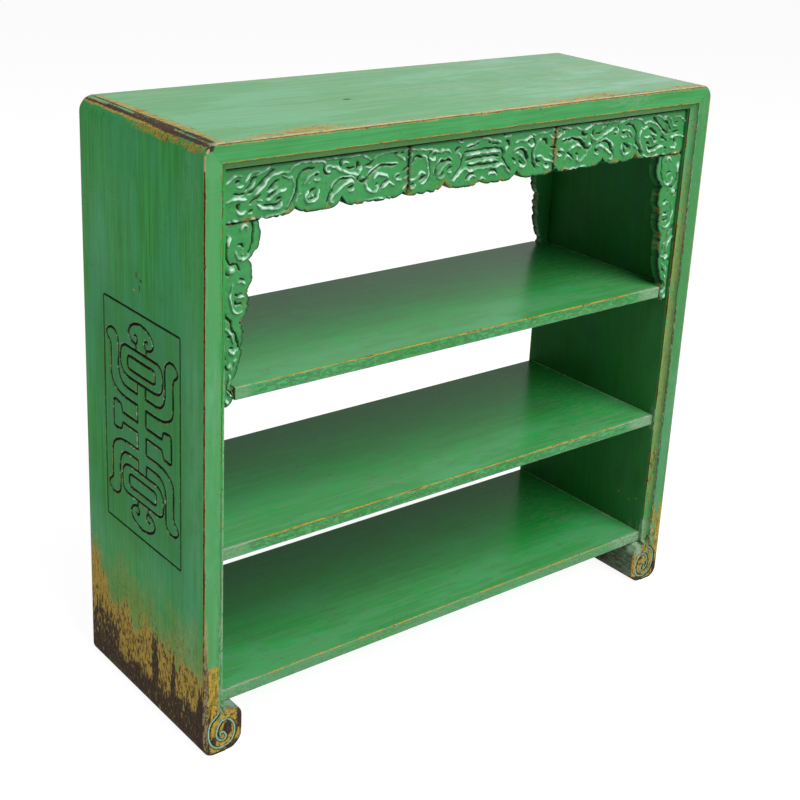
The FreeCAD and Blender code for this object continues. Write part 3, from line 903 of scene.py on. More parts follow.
# Wear along the front edges, for both sides and for the front and the back
ARRIS_WEAR = (
    edge(GROUND, Axis.Z, (-0.56, -0.2, 0), 0.0028, 0.3, 0.5),
    edge(BARE, Axis.Z, (-0.56, -0.2, 0), 0.0019, 0.3, 0.5),
    edge(GROUND, Axis.Z, (-0.528, -0.2, 0), 0.0016, 0.4, 0.6, 0.45),
    edge(BARE, Axis.Z, (-0.528, -0.2, 0), 0.0009, 0.4, 0.7, 0.7),
    WearAndLight(FADED, (-0.5445, -0.2005, 0.56), (0.016, 0.003, 0.9), 0.2, 0.1, 0.3, 0.35, veil=0.85),
    WearAndLight(FADED, (-0.5445, -0.2005, 1.018), (0.0165, 0.003, 0.017), 0.1, 0, 0.1, 0.12),
)
STILE_DUST = WearAndLight(RUBBED, (-0.544, -0.2005, 0.4), (0.018, 0.003, ENDLESS), 0.3, 0.3, 0.5,
                  0.5, cover=0.12)
COVE_DUST = WearAndLight(RUBBED, (-0.5165, -0.188, 0.25), (0.0022, 0.0022, 0.42), 0.4, 0, 0.4,
                 cover=0.7)
# Primer along the rounded corner of the front, which the top's end shares
PRIMED_CORNER = (
    WearAndLight(PRIMER, (-0.5595, -0.2, 1.033), (0.002, 0.0028, 0.017), 0.4, cover=0.85),
    WearAndLight(PRIMER, (-0.555, -0.2, 1.049), (0.0035, 0.0028, 0.0055), 0.4, cover=0.85),
    WearAndLight(PRIMER, (-0.544, -0.2, 1.057), (0.01, 0.0028, 0.0022), 0.4, cover=0.85),
)
# The scrolled foot: the board's lower end and the block inside it
FOOT_WEAR = (
    WearAndLight(GROUND, (-0.524, -0.206, 0.038), (0.05, 0.016, 0.05), 0.3, 0, 0.2, 0.1),
    WearAndLight(BARE, (-0.524, -0.206, 0.038), (0.05, 0.016, 0.05), 0.3, 0, 0.2, 0.1, cover=0.25),
    WearAndLight(BARE, (-0.513, -0.206, 0.044), (0.01, 0.016, 0.015), 0.35, 0, 0.2, 0.1),
    WearAndLight(BARE, (-0.54, -0.206, 0.026), (0.006, 0.016, 0.01), 0.4, 0, 0.2, 0.1),
    WearAndLight(BARE, (-0.487, -0.206, 0.056), (0.01, 0.016, 0.026), 0.4, 0, 0.2, 0.1),
    WearAndLight(BARE, (-0.554, -0.206, 0.035), (0.006, 0.016, 0.04), 0.4, 0, 0.2, 0.1, cover=0.8),
    WearAndLight(BARE, (-0.544, -0.201, 0.078), (0.018, 0.006, 0.008), 0.5, 0, 0.2, cover=0.45),
    WearAndLight(BARE, (-0.52, 0.206, 0.036), (0.042, 0.016, 0.042), 0.5, 0, 0.2, 0.1),
    WearAndLight(BARE, (0, 0, 0), (ENDLESS, ENDLESS, 0.004), 0.3, 0, 0.3, 0.2, True),
)
SIDE_WEAR = CORNER_WEAR + ARRIS_WEAR + (STILE_DUST, COVE_DUST) + PRIMED_CORNER + FOOT_WEAR + (
    edge(GROUND, Axis.Z, (-0.56, 0.2, 0), 0.0016),
    WearAndLight(GROUND, (-0.56, 0, 0), (0.01, ENDLESS, 0.158), 0.16, 0.16, 0.2, 0.16, True, 0.93),
    WearAndLight(GROUND, (-0.56, 0, 0), (0.01, ENDLESS, 0.195), 0.1, 0.16, 0.2, 0.1, True, 0.22),
    WearAndLight(GROUND, (-0.56, 0, 0), (0.01, ENDLESS, 0.225), 0.06, 0.22, 0.2, 0.25, True, veil=0.3),
    WearAndLight(GRIME_AND_SHADE, (-0.56, 0, 0.53), (0.01, 0.15, 0.23), 0.05, 0.15, 0.2, 0.3, True, veil=0.35),
    WearAndLight(FADED, (-0.56, -0.165, 0.56), (0.01, 0.036, 0.42), 0.3, 0.5, 0.6, 0.7, veil=0.45),
    WearAndLight(FADED, (-0.56, 0.06, 0.27), (0.01, 0.15, 0.055), 0.3, 0.5, 0.6, 0.7, veil=0.4),
    WearAndLight(FADED, (-0.56, 0.13, 0.86), (0.01, 0.08, 0.11), 0.3, 0.5, 0.6, 0.7, veil=0.3),
    edge(BARE, Axis.Z, (-0.56, 0.2, 0), 0.0024, 0.3, 0.5),
    WearAndLight(GROUND, (-0.56, 0.195, 0.13), (0.01, 0.07, 0.11), 0.3, 0.2, 0.3, 0.3, cover=0.8),
    WearAndLight(BARE, (-0.56, 0, 0), (0.012, ENDLESS, 0.07), 0.35, 0.3, 0.35, 0.12, True, 0.85),
    WearAndLight(BARE, (-0.56, 0, 0), (0.012, ENDLESS, 0.135), 0.25, 0.25, 0.25, 0.1, True, 0.42),
    WearAndLight(BARE, (-0.56, 0.16, 0.06), (0.012, 0.07, 0.06), 0.45, 0.3, 0.2, 0.1, cover=0.7),
    WearAndLight(BARE, (-0.56, -0.038, 0.09), (0.012, 0.013, 0.068), 0.6, 0.25, 0.1, 0.1, cover=0.85),
    WearAndLight(BARE, (-0.56, -0.1, 0.08), (0.012, 0.009, 0.066), 0.6, 0.25, 0.1, 0.1, cover=0.85),
    WearAndLight(BARE, (-0.56, -0.19, 0.06), (0.012, 0.014, 0.07), 0.4, 0.2, 0.1, 0.1),
    WearAndLight(GROUND, (-0.543, -0.201, 0.1), (0.0125, 0.004, 0.072), 0.06, 0.05, 0.04, 0.04, True,
         0.93),
    WearAndLight(BARE, (-0.543, -0.201, 0.07), (0.014, 0.004, 0.06), 0.4, 0.2, 0.2, cover=0.25),
    WearAndLight(BARE, (-0.556, -0.2, 0.1), (0.0062, 0.003, 0.11), 0.3, 0.2, 0.2, cover=0.75),
    WearAndLight(PRIMER, (-0.5565, -0.2, 0.12), (0.005, 0.003, 0.15), 0.5, 0.3, 0.3, cover=0.5, veil=0.6),
    WearAndLight(RUBBED, (-0.5285, -0.199, 0.13), (0.0024, 0.003, 0.12), 0.4, 0, 0.3, cover=0.5),
    WearAndLight(RUBBED, (-0.5215, -0.196, 0.2), (0.007, 0.009, 0.13), 0.4, 0, 0.3, 0.3, cover=0.5),
    WearAndLight(BARE, (-0.56, 0.011, 0.8), (0.003, 0.0018, 0.006), 0.3),
    WearAndLight(GROUND, (-0.56, 0.02, 0.772), (0.003, 0.005, 0.0016), 0.3),
    WearAndLight(BARE, (-0.56, -0.004, 0.794), (0.003, 0.004, 0.0024), 0.3),
    WearAndLight(BARE, (-0.56, 0.001, 0.78), (0.003, 0.0018, 0.005), 0.3),
)
# The right foot's scroll, on the board's lower end and on the block alike
RIGHT_SCROLL_WEAR = (
    WearAndLight(GROUND, (0.523, -0.206, 0.038), (0.05, 0.016, 0.05), 0.3, 0, 0.2, 0.1, cover=0.75),
    WearAndLight(BARE, (0.523, -0.206, 0.038), (0.05, 0.016, 0.05), 0.3, 0, 0.2, 0.1, cover=0.35),
)
RIGHT_ARRIS_WEAR = tuple(worn.mirrored(Axis.X) for worn in ARRIS_WEAR)
RIGHT_WEAR = RIGHT_ARRIS_WEAR + RIGHT_SCROLL_WEAR + (
    STILE_DUST.mirrored(Axis.X),
    edge(RUBBED, Axis.Z, (0.528, -0.2, 0), 0.003, 0.4, 0.7, 0.4),
    WearAndLight(GRIME_AND_SHADE, (0.544, -0.2005, 0.5), (0.018, 0.003, ENDLESS), 0.3, 0.3, 0.5, 0.5, veil=0.4),
    WearAndLight(FADED, (0.522, -0.193, 0.5), (0.009, 0.01, ENDLESS), 0.3, 0.3, 0.5, 0.4, veil=0.7),
    WearAndLight(FADED, (0.516, -0.175, 0.5), (0.004, 0.09, ENDLESS), 0.4, 0.4, 0.8, 0.8, veil=0.45),
    WearAndLight(RUBBED, (0.544, -0.2005, 0.5), (0.018, 0.003, ENDLESS), 0.3, 0.3, 0.5, 0.5, cover=0.15),
    WearAndLight(BARE, (0.53, -0.2, 0.35), (0.0022, 0.002, 0.38), 0.5, 0.4, 0.6, cover=0.7),
    edge(GROUND, Axis.Z, (0.517, -0.189, 0), 0.0018, 0.4, 0.6, 0.5),
    edge(BARE, Axis.Z, (0.5163, -0.188, 0), 0.0012, 0.4, 0.6, 0.9),
    WearAndLight(GROUND, (0.5225, -0.194, 0.42), (0.008, 0.009, 0.46), 0.4, 0.5, 0.6, 0.5, veil=0.35),
    WearAndLight(GROUND, (0.558, -0.2, 0.115), (0.013, 0.012, 0.075), 0.35, 0.1, 0.3, cover=0.85),
    WearAndLight(GROUND, (0.534, -0.2, 0.12), (0.006, 0.012, 0.07), 0.5, 0.1, 0.3, cover=0.6),
    WearAndLight(GROUND, (0.52, -0.192, 0.2), (0.007, 0.01, 0.14), 0.5, 0.1, 0.5, cover=0.35),
    WearAndLight(BARE, (0.554, -0.2, 0.095), (0.012, 0.008, 0.055), 0.5, 0.1, 0.2, cover=0.3),
    WearAndLight(GROUND, (0.56, 0, 0), (0.01, ENDLESS, 0.09), 0.16, 0.2, 0.5, 0.16, True, 0.85),
    WearAndLight(GROUND, (0.56, 0, 0), (0.01, ENDLESS, 0.15), 0.06, 0.25, 0.4, 0.25, True, veil=0.3),
    WearAndLight(GROUND, (0.56, -0.15, 0.04), (0.01, 0.06, 0.13), 0.2, 0.3, 0.4, 0.2, cover=0.8),
    WearAndLight(GROUND, (0.56, 0.11, 0.03), (0.01, 0.05, 0.11), 0.2, 0.3, 0.4, 0.2, cover=0.7),
    WearAndLight(BARE, (0.56, 0, 0), (0.012, ENDLESS, 0.045), 0.25, 0.3, 0.6, 0.1, True, 0.9),
    WearAndLight(BARE, (0.56, -0.14, 0.03), (0.012, 0.03, 0.075), 0.5, 0.3, 0.2, 0.1, cover=0.8),
    WearAndLight(BARE, (0.56, 0.05, 0.03), (0.012, 0.02, 0.06), 0.5, 0.3, 0.2, 0.1, cover=0.7),
    WearAndLight(GROUND, (0.516, -0.114, 0.176), (0.003, 0.0034, 0.004), 0.4),
    WearAndLight(GROUND, (0.516, -0.145, 0.168), (0.003, 0.002, 0.0024), 0.4),
    WearAndLight(GROUND, (0.516, -0.163, 0.177), (0.003, 0.002, 0.0024), 0.4),
    WearAndLight(BARE, (0.517, -0.19, 0.229), (0.003, 0.003, 0.003), 0.4),
    WearAndLight(RUBBED, (0.518, -0.19, 0.115), (0.008, 0.012, 0.03), 0.5, 0, 0.3, cover=0.6),
    WearAndLight(RUBBED, (0.517, -0.186, 0.37), (0.004, 0.014, 0.03), 0.5, 0, 0.3, 0.4, cover=0.45),
    WearAndLight(RUBBED, (0.517, -0.17, 0.66), (0.003, 0.03, 0.016), 0.5, 0, 0.3, 0.4, cover=0.35),
    WearAndLight(RUBBED, (0.516, -0.18, 0.115), (0.003, 0.035, 0.012), 0.5, 0, 0.3, 0.4, cover=0.4),
)
BACK_WEAR = tuple(worn.mirrored(Axis.Y) for worn in ARRIS_WEAR + RIGHT_ARRIS_WEAR) + (
    WearAndLight(GROUND, (-0.544, 0.201, 0.06), (0.017, 0.004, 0.11), 0.5, 0.3, 0.3, cover=0.5),
    WearAndLight(GROUND, (0.544, 0.201, 0.06), (0.017, 0.004, 0.13), 0.5, 0.3, 0.3, cover=0.5),
    WearAndLight(BARE, (-0.544, 0.201, 0.04), (0.018, 0.004, 0.08), 0.5, 0.3, 0.3, cover=0.6),
    WearAndLight(BARE, (0.544, 0.201, 0.04), (0.018, 0.004, 0.07), 0.5, 0.3, 0.3, cover=0.6),
)
# The faces inside the bays, darker: old grime, and painted shade where the bays are shaded
INNER_GRIME_AND_SHADE = (
    WearAndLight(GRIME_AND_SHADE, (0, 0, 0.56), (0.518, 0.184, 0.48), 0.001, 0.001, 0.004, 0.018, True),
)
TOP_WEAR_AND_SHADE = CORNER_WEAR + PRIMED_CORNER + (
    WearAndLight(FADED, (0, 0, 1.072), (ENDLESS, ENDLESS, 0.0155), 0.02, 0, 0, 0.03, True),
    WearAndLight(BLEACHED, (0.8, 0.04, 1.072), (0.85, ENDLESS, 0.0155), 0.2, 0.25, 0.2, 0.45),
    # Painted shade in the cove under the front rail
    WearAndLight(GRIME_AND_SHADE, (0, -0.188, 1.014), (ENDLESS, 0.0115, 0.0115), 0.1, 0, 0.1, 0.2, True, veil=0.4),
    WearAndLight(GROUND, (0, -0.188, 1.014), (ENDLESS, 0.0115, 0.0115), 0.2, 0.3, 0.3, 0.4, True,
         veil=0.12),
    WearAndLight(PRIMER, (0.43, -0.11, 1.06), (0.11, 0.06, 0.006), 0.3, 0.4, 0.3, 0.5, cover=0.2),
    edge(GROUND, Axis.X, (0, -0.1985, 1.058), 0.0046, 0.4, 0.5, 0.8),
    edge(RUBBED, Axis.X, (0, -0.1955, 1.058), 0.0036, 0.5, 0.8, 0.5),
    edge(PRIMER, Axis.X, (0, -0.1993, 1.0578), 0.002, 0.3, 0.35, 0.9),
    edge(BARE, Axis.X, (0, -0.2, 1.056), 0.0012, 0.4, 0.5, 0.9),
    edge(GROUND, Axis.X, (0, 0.2, 1.058), 0.003, 0.4, 0.6),
    edge(GROUND, Axis.X, (0, -0.2, 1.026), 0.0016, 0.4, 0.4, 0.85),
    edge(BARE, Axis.X, (0, -0.2, 1.0256), 0.0008, 0.4, 0.6),
    edge(GROUND, Axis.X, (0, 0.2, 1.026), 0.0016, 0.4, 0.6, 0.7),
    edge(BARE, Axis.X, (0, 0.199, 1.058), 0.0014, 0.4, 0.6, 0.8),
    edge(GROUND, Axis.Y, (0.543, 0, 1.0565), 0.0036, 0.4, 0.6, 0.6),
    edge(BARE, Axis.Y, (0.5465, 0, 1.055), 0.0016, 0.4, 0.5, 0.8),
    WearAndLight(GROUND, (-0.42, -0.194, 1.06), (0.075, 0.013, 0.005), 0.3, 0.35, 0.15, 0.4, cover=0.8),
    WearAndLight(GROUND, (-0.36, -0.184, 1.06), (0.06, 0.02, 0.005), 0.3, 0.4, 0.15, 0.5, cover=0.7),
    WearAndLight(GROUND, (0.19, -0.192, 1.06), (0.11, 0.01, 0.005), 0.3, 0.4, 0.25, 0.4, cover=0.7),
    WearAndLight(GROUND, (0.27, -0.182, 1.06), (0.06, 0.016, 0.005), 0.3, 0.45, 0.15, 0.5, cover=0.6),
    WearAndLight(GROUND, (0.475, -0.192, 1.06), (0.08, 0.01, 0.005), 0.35, 0.4, 0.2, 0.4, cover=0.6),
    WearAndLight(BARE, (0.33, -0.197, 1.06), (0.11, 0.005, 0.005), 0.4, 0.5, 0.4, 0.2, cover=0.8),
    WearAndLight(RUBBED, (0.33, -0.2005, 1.044), (0.05, 0.003, 0.01), 0.5, 0.3, 0.3, 0.5,
         cover=0.4, veil=0.5),
    WearAndLight(BARE, (-0.17, -0.016, 1.058), (0.008, 0.004, 0.01), 0.2),
    WearAndLight(BARE, (0.559, -0.2, 1.045), (0.0022, 0.003, 0.014), 0.3, cover=0.8),
    WearAndLight(BARE, (0.548, -0.2, 1.056), (0.01, 0.003, 0.0022), 0.3, cover=0.8),
)
# The blocks inside the feet: worn under the shelf, and bare along the floor
BLOCK_WEAR = (
    WearAndLight(BARE, (0, 0.16, 0), (ENDLESS, 0.3, 0.085), 0.4, 0.6, 0.3, 0.3, True, 0.8),
    WearAndLight(BARE, (0, 0, 0), (ENDLESS, ENDLESS, 0.016), 0.4, 0.6, 0.3, 0.2, True, 0.9),
    WearAndLight(RUBBED, (-0.5, -0.18, 0.086), (0.024, 0.02, 0.007), 0.3, 0, 0.2, cover=0.6),
    WearAndLight(RUBBED, (0.498, -0.186, 0.074), (0.014, 0.018, 0.016), 0.4, 0, 0.2, cover=0.9),
    WearAndLight(RUBBED, (0.484, -0.165, 0.04), (0.006, 0.03, 0.036), 0.5, 0.3, 0.2, cover=0.35),
)
# Sunned and rubbed along the brush, which makes it pale
TOP = Lacquer("faded_green_lacquer", "3d934c", "31803f", "4ca262", Axis.X, 0.6, 0.9, 0.42,
              TOP_WEAR_AND_SHADE)
# Duller, with the brush drawn down the boards
SIDE = Lacquer("green_lacquer_upright", "3b9b43", "2c7e33", "3f9764", Axis.Z, 0.8, 1.0, 0.5,
               SIDE_WEAR + RIGHT_WEAR + BACK_WEAR + INNER_GRIME_AND_SHADE,
               specular=0.07, dirt_and_shade="0b120d")

# The height of each shelf's upper face, how dusty its edge is, and its solid
SHELF_PLACES = ((0.107, 0.42, "bottom_shelf"), (0.376, 0.25, "middle_shelf"),
                (0.657, 0.25, "upper_shelf"))
SHELF_BOARD = 0.022


def shelf_wear_and_light(top: float, dusty: float) -> tuple[WearAndLight, ...]:
    """List the worn places of a shelf, and the painted light and shade on it: its back darker, its
    front and a patch of sheen paler.

    Args:
        top: the height of its upper face.
        dusty: how much dust its edge holds.

    Returns:
        The places.
    """
    lip, middle, foot = -0.182, top - SHELF_BOARD / 2, top - SHELF_BOARD
    return (
        # Painted shade: the back of the shelf darker, where the shelf above shades it
        WearAndLight(GRIME_AND_SHADE, (0, 0.3, top), (ENDLESS, 0.33, 0.03), 0.15, 0.3, 0.2, 0.6, veil=0.45),
        WearAndLight(FADED, (0, lip, middle), (ENDLESS, 0.002, 0.013), 0.1, 0.1, 0.1, 0.2, True, veil=0.6),
        WearAndLight(GRIME_AND_SHADE, (0, lip, middle), (ENDLESS, 0.002, 0.013), 0.2, 0.6, 0.6, 0.4, True, 0.55,
             veil=0.7),
        # Painted light: the front of the shelf paler, where the light reaches in
        WearAndLight(FADED, (0, lip, top), (ENDLESS, 0.1, 0.01), 0.3, 0.6, 0.5, 0.8, veil=0.6),
        # Painted light and sheen: a paler patch, further right on higher shelves
        WearAndLight(FADED, (0.9 * top - 0.15, -0.08, top), (0.28, 0.11, 0.01), 0.3, 0.5, 0.6, 0.8,
             veil=0.4),
        # Painted sheen: pale streaks, further right on higher shelves
        WearAndLight(RUBBED, (0.9 * top - 0.25, -0.12, top), (0.22, 0.03, 0.005), 0.5, 0.7, 0.5, 0.5,
             cover=0.3, veil=0.35),
        WearAndLight(RUBBED, (0.44, 0, top), (0.08, 0.16, 0.005), 0.5, 0.6, 0.5, 0.6, cover=0.35,
             veil=0.4),
        edge(GROUND, Axis.X, (0, lip, top), 0.0018, 0.4, 0.5, 0.85),
        edge(BARE, Axis.X, (0, -0.1822, top), 0.0007, 0.4, 0.9),
        edge(GROUND, Axis.X, (0, 0.182, top), 0.0016, 0.4, 0.6),
        WearAndLight(RUBBED, (0, lip, middle), (ENDLESS, 0.002, 0.013), 0.1, 0.1, 0.1, 0.2, True, dusty),
        edge(RUBBED, Axis.X, (0, lip, foot), 0.0022, 0.4, 0.5, 0.5),
        edge(BARE, Axis.X, (0, lip, foot), 0.0016, 0.4, 0.5, 0.95),
        WearAndLight(RUBBED, (0.49, lip, middle), (0.045, 0.003, 0.014), 0.5, 0, 0.3, 0.5, cover=0.6),
        WearAndLight(RUBBED, (0.48, lip, top), (0.07, 0.005, 0.0026), 0.5, 0, 0.3, 0.3, cover=0.8),
        WearAndLight(RUBBED, (-0.495, lip, middle), (0.035, 0.003, 0.014), 0.5, 0, 0.3, 0.3, cover=0.5),
        WearAndLight(RUBBED, (-0.485, lip, top), (0.05, 0.004, 0.0022), 0.5, 0, 0.3, 0.3, cover=0.8),
        edge(RUBBED, Axis.Y, (0.516, 0, top), 0.004, 0.6, 0.7, 0.6),
        edge(BARE, Axis.Y, (0.516, 0, top), 0.0012, 0.5, 0.5, 0.8),
    )


# Polished by use, so that it mirrors the bay's mouth softly
SHELVES = Lacquer("green_lacquer_shelf", "24a844", "1c8834", "2eaa56", Axis.X, 0.8, 0.6, 0.24,
                  sum((shelf_wear_and_light(top, dusty) for top, dusty, _ in SHELF_PLACES), ()),
                  specular=0.065)
# Thick over the carving, with pale crests of rubbed paint and painted highlight, and dirt and
# painted shade in the hollows
CARVED = Lacquer("carved_green_lacquer", "388b4a", "2b7036", "449356", Axis.X, 0.6, 0.0, 0.3,
                 specular=0.13, mint="c2e8d0", dirt_and_shade="06120b")
# Grey with dust and floor water where it isn't down to the ground or the wood
FOOT = Lacquer("worn_foot_lacquer", "67735d", "414537", "8e9787", Axis.Y, 0.6, 0.8, 0.5,
               specular=0.13, dirt_and_shade="120f0a",
               worn=FOOT_WEAR + RIGHT_SCROLL_WEAR + BLOCK_WEAR)


@dataclass(frozen=True)
class PlainElm:
    """Planed elm without any coat: dull light brown with fine darker grain."""

    name: str = "bare_elm"
    light: str = "b08a5c"
    dark: str = "7c5a38"
    grain_width: float = 1.5 * MM
    grain_length: float = 30 * MM
    grain_depth: float = 0.1 * MM
    grain_bump: float = 0.4
    roughness: float = 0.7

    def material(self) -> bpy.types.Material:
        """Build the material: noise stretched along X, between two browns.

        Returns:
            The material.
        """
        result = bpy.data.materials.new(self.name)
        result.use_nodes = True
        tree = result.node_tree
        tree.nodes.clear()
        cells = (1 / self.grain_length, 1 / self.grain_width, 1 / self.grain_width)
        place = add_node(tree, "TexCoord").outputs["Object"]
        scaled = joined(tree, Join.POINT_TIMES, place, cells)
        grain = add_node(tree, "TexNoise", {"Vector": scaled, "Scale": 1.0}).outputs[0]
        color = joined(tree, Join.BLEND, grain, self.light, self.dark)
        bump = add_node(tree, "Bump", {"Strength": self.grain_bump, "Distance": self.grain_depth,
                                       "Height": grain})
        shader = add_node(tree, "BsdfPrincipled", {
            "Base Color": color, "Roughness": self.roughness, "Normal": bump.outputs["Normal"]})
        add_node(tree, "OutputMaterial", {"Surface": shader.outputs["BSDF"]})
        return result


# ---- The cabinet ---------------------------------------------------------------------------

@dataclass
class Case:
    """The sizes that all the sub-assemblies share, in metres."""

    half_width: float = 0.56
    half_depth: float = 0.2
    height: float = 1.058
    board: float = 0.044
    shelf_bottom: float = 0.085

    @property
    def wall(self) -> float:
        """How far the inner faces of the side boards stand from the middle."""
        return self.half_width - self.board

    @property
    def ceiling(self) -> float:
        """The height of the top board's underside."""
        return self.height - self.board


# Paint left in a foot's scroll, dirt in the scroll, and dirt in the cracks
SCROLL_PAINT = Mark(0.75, 0.76, 0.95)
SCROLL_DIRT = Mark(1.0, 0, 0.1)
CRACK_DIRT = 0.85


def foot_carving(x: np.ndarray, z: np.ndarray) -> tuple[np.ndarray, np.ndarray]:
    """The left foot's scroll and its cracks at points of the front face, each from 0 to 1.

    Args:
        x: places across in metres, in the cabinet's frame.
        z: heights in metres.

    Returns:
        The scroll's field and the cracks' field.
    """
    across, up = (x + Case.half_width) / MM, z / MM
    return stroke_field(across, up, FOOT_SPIRAL), stroke_field(across, up, FOOT_CRACKS)


def foot_fields(scroll: np.ndarray, crack: np.ndarray) -> dict[str, np.ndarray]:
    """Fields for a foot's finish: paint on the scroll's line, dirt beside it and in cracks."""
    return {"mint": SCROLL_PAINT.of(scroll),
            "hollow": np.maximum(CRACK_DIRT * crack, SCROLL_DIRT.of(scroll))}


@dataclass
class SideBoards:
    """The two side boards, from the floor to the mitres, with their incised strapwork."""

    case: Case
    top_radius: float = 26 * MM
    sole_radius: float = 20 * MM
    arris: float = 2 * MM
    cove: float = 12 * MM
    cove_hollow: float = 0.34
    cove_start: float = 5 * MM
    strap_middle: float = 0.53
    strap_half: tuple[float, float] = (0.132, 0.21)
    strap_margin: float = 4 * MM    # between the strapwork panel and the coarser board
    strap_step: float = 1.25 * MM
    strap_depth: float = 2.2 * MM
    strap_soften: float = 0.5 * MM
    strap_steepness: float = 1.4
    strap_dirt: Mark = Mark(1.0, 0.15, 0.45)
    strap_rim: float = 0.6
    strap_highlight: float = 0.1        # a painted highlight along the lines' rims, and more as painted glints in patches
    glint: Mark = Mark(0.85, 0.7, 1.4)
    glint_size: float = 2.0 * MM
    scroll_depth: float = 2.2 * MM
    crack_depth: float = 1.6 * MM
    foot_top: float = 0.106         # the rows are finer below this
    right_paint_and_glint: float = 0.75       # how much of the scroll's paint and of the painted glints is kept on the right board
    # How many points each part of the outline and of the height takes
    face_points: int = 22
    arris_points: int = 5
    front_points: int = 31
    cove_points: int = 9
    inner_points: int = 13
    sole_rows: int = 13
    foot_rows: int = 55
    upper_rows: tuple[int, int, int] = (5, 9, 6)
    mitre_rows: int = 9
    crease: float = 32              # degrees
    seed: int = 5

    def inset(self, z: np.ndarray) -> np.ndarray:
        """How far the outer face stands in: quarter rounds at the sole and at the top.

        It is r (1 - sqrt(1 - s^2)), where s goes from 0 where the round begins to 1 at its end.

        Args:
            z: heights.

        Returns:
            Distances from the board's outermost plane.
        """
        low = np.clip(1 - z / self.sole_radius, 0, 1)
        high = np.clip((z - self.case.height + self.top_radius) / self.top_radius, 0, 1)
        return (self.sole_radius * (1 - np.sqrt(1 - low ** 2))
                + self.top_radius * (1 - np.sqrt(1 - high ** 2)))

    def cove_pull(self, share: np.ndarray) -> np.ndarray:
        """How far the cove's arc stands off its chord, along each face, as a share of its width.

        The chord is sqrt(2) long and the arc stands off its middle by half the hollow's share of
        it, h: with R = (1/2 + h^2) / (2 h), the arc stands off by sqrt(R^2 - t^2) - (R - h).

        Args:
            share: how far along the chord each point is.

        Returns:
            Shares of the cove's width.
        """
        stand = self.cove_hollow / math.sqrt(2)
        radius = (0.5 + stand ** 2) / (2 * stand)
        along = (share - 0.5) * math.sqrt(2)
        return (np.sqrt(radius ** 2 - along ** 2) - radius + stand) / math.sqrt(2)

    def row_heights(self) -> np.ndarray:
        """Space the rows up to the ceiling: fine over the foot, coarse above.

        Returns:
            Their heights.
        """
        turn = np.linspace(0, math.pi / 2, self.sole_rows)
        sole = self.sole_radius * (1 - np.cos(turn))
        foot = np.linspace(self.sole_radius, self.foot_top, self.foot_rows)[1:]
        foot = spread_with(foot, np.array([self.case.shelf_bottom]))
        low, high = (self.strap_middle + side * self.strap_border()[1] for side in (-1, 1))
        stops = (self.foot_top, low, high, self.case.ceiling)
        rest = [np.linspace(lower, upper, rows)[1:]
                for lower, upper, rows in zip(stops, stops[1:], self.upper_rows)]
        return np.concatenate([sole, foot, *rest])

    def strap_border(self) -> tuple[float, float]:
        """Half sizes of the opening that the fine strapwork panel is set into."""
        return self.strap_half[0] + self.strap_margin, self.strap_half[1] + self.strap_margin

    def left(self) -> Surface:
        """Build the left board.

        A closed outline is carried up the board: outer face, front arris, front face, cove,
        inner face and the same at the back. Its outer side follows the rounded sole and top, its
        cove begins above the foot, and its rows end on the mitre, where x + z is the same all
        over.

        Returns:
            The board's surface.
        """
        case, arris = self.case, self.arris
        heights = self.row_heights()
        ceiling_row = len(heights) - 1
        climb = np.linspace(0, 1, self.mitre_rows)[1:]
        corner_rise = case.board - self.top_radius * (1 - math.sqrt(0.5))
        outer_z = np.concatenate([heights, case.ceiling + climb * corner_rise])[:, None]
        outer = -case.half_width + self.inset(outer_z)
        grown = np.clip((outer_z - case.shelf_bottom) / self.cove_start, 0, 1)
        cove = self.cove * clear_step(grown, 0, 1)

        face = np.linspace(1, -1, self.face_points) * (case.half_depth - arris)
        face = spread_with(face, np.array([-1, 1]) * self.strap_border()[0])[None, :-1]
        turn = np.linspace(0, math.pi / 2, self.arris_points)[None, :-1]
        share = np.linspace(0, 1, self.front_points)[None, :-1]
        hollow = np.linspace(0, 1, self.cove_points)[None, :-1]
        inner = np.linspace(-1, 1, self.inner_points)[None, :-1]
        pull = self.cove_pull(hollow)
        ones = np.ones_like(outer)
        across = -case.wall - cove - outer - arris
        deep = case.half_depth
        parts = (
            (outer + 0 * face, ones * face),
            (outer + arris * (1 - np.cos(turn)), -deep + arris * (1 - np.sin(turn)) * ones),
            (outer + arris + share * across, -deep * (ones + 0 * share)),
            (-case.wall - cove * (1 - hollow + pull), -deep + cove * (hollow + pull)),
            (-case.wall * (ones + 0 * inner), (deep - cove) * inner),
            (-case.wall - cove * (hollow + pull), deep - cove * (1 - hollow + pull)),
            (outer + arris + (1 - share) * across, deep * (ones + 0 * share)),
            (outer + arris * (1 - np.sin(turn)), deep - arris * (1 - np.cos(turn)) * ones))
        x, y = (np.hstack(columns) for columns in zip(*parts))
        counts = np.cumsum([0] + [part.shape[1] for part, _ in parts])

        z = np.repeat(outer_z, x.shape[1], axis=1)
        z[ceiling_row:] = case.ceiling + (np.concatenate([[0], climb])[:, None]
                                          * (-case.wall - x[-1])[None, :])
        scroll, crack = foot_carving(x, z)
        on_front, on_back = np.zeros((2, x.shape[1]), bool)
        on_front[counts[2]:counts[4] + 1] = True
        on_back[counts[5]:counts[7]] = True
        on_face = (on_front | on_back)[None, :]
        scroll, crack = scroll * on_face, crack * on_face
        sink = self.scroll_depth * scroll + self.crack_depth * crack
        y = y + sink * on_front[None, :] - sink * on_back[None, :]

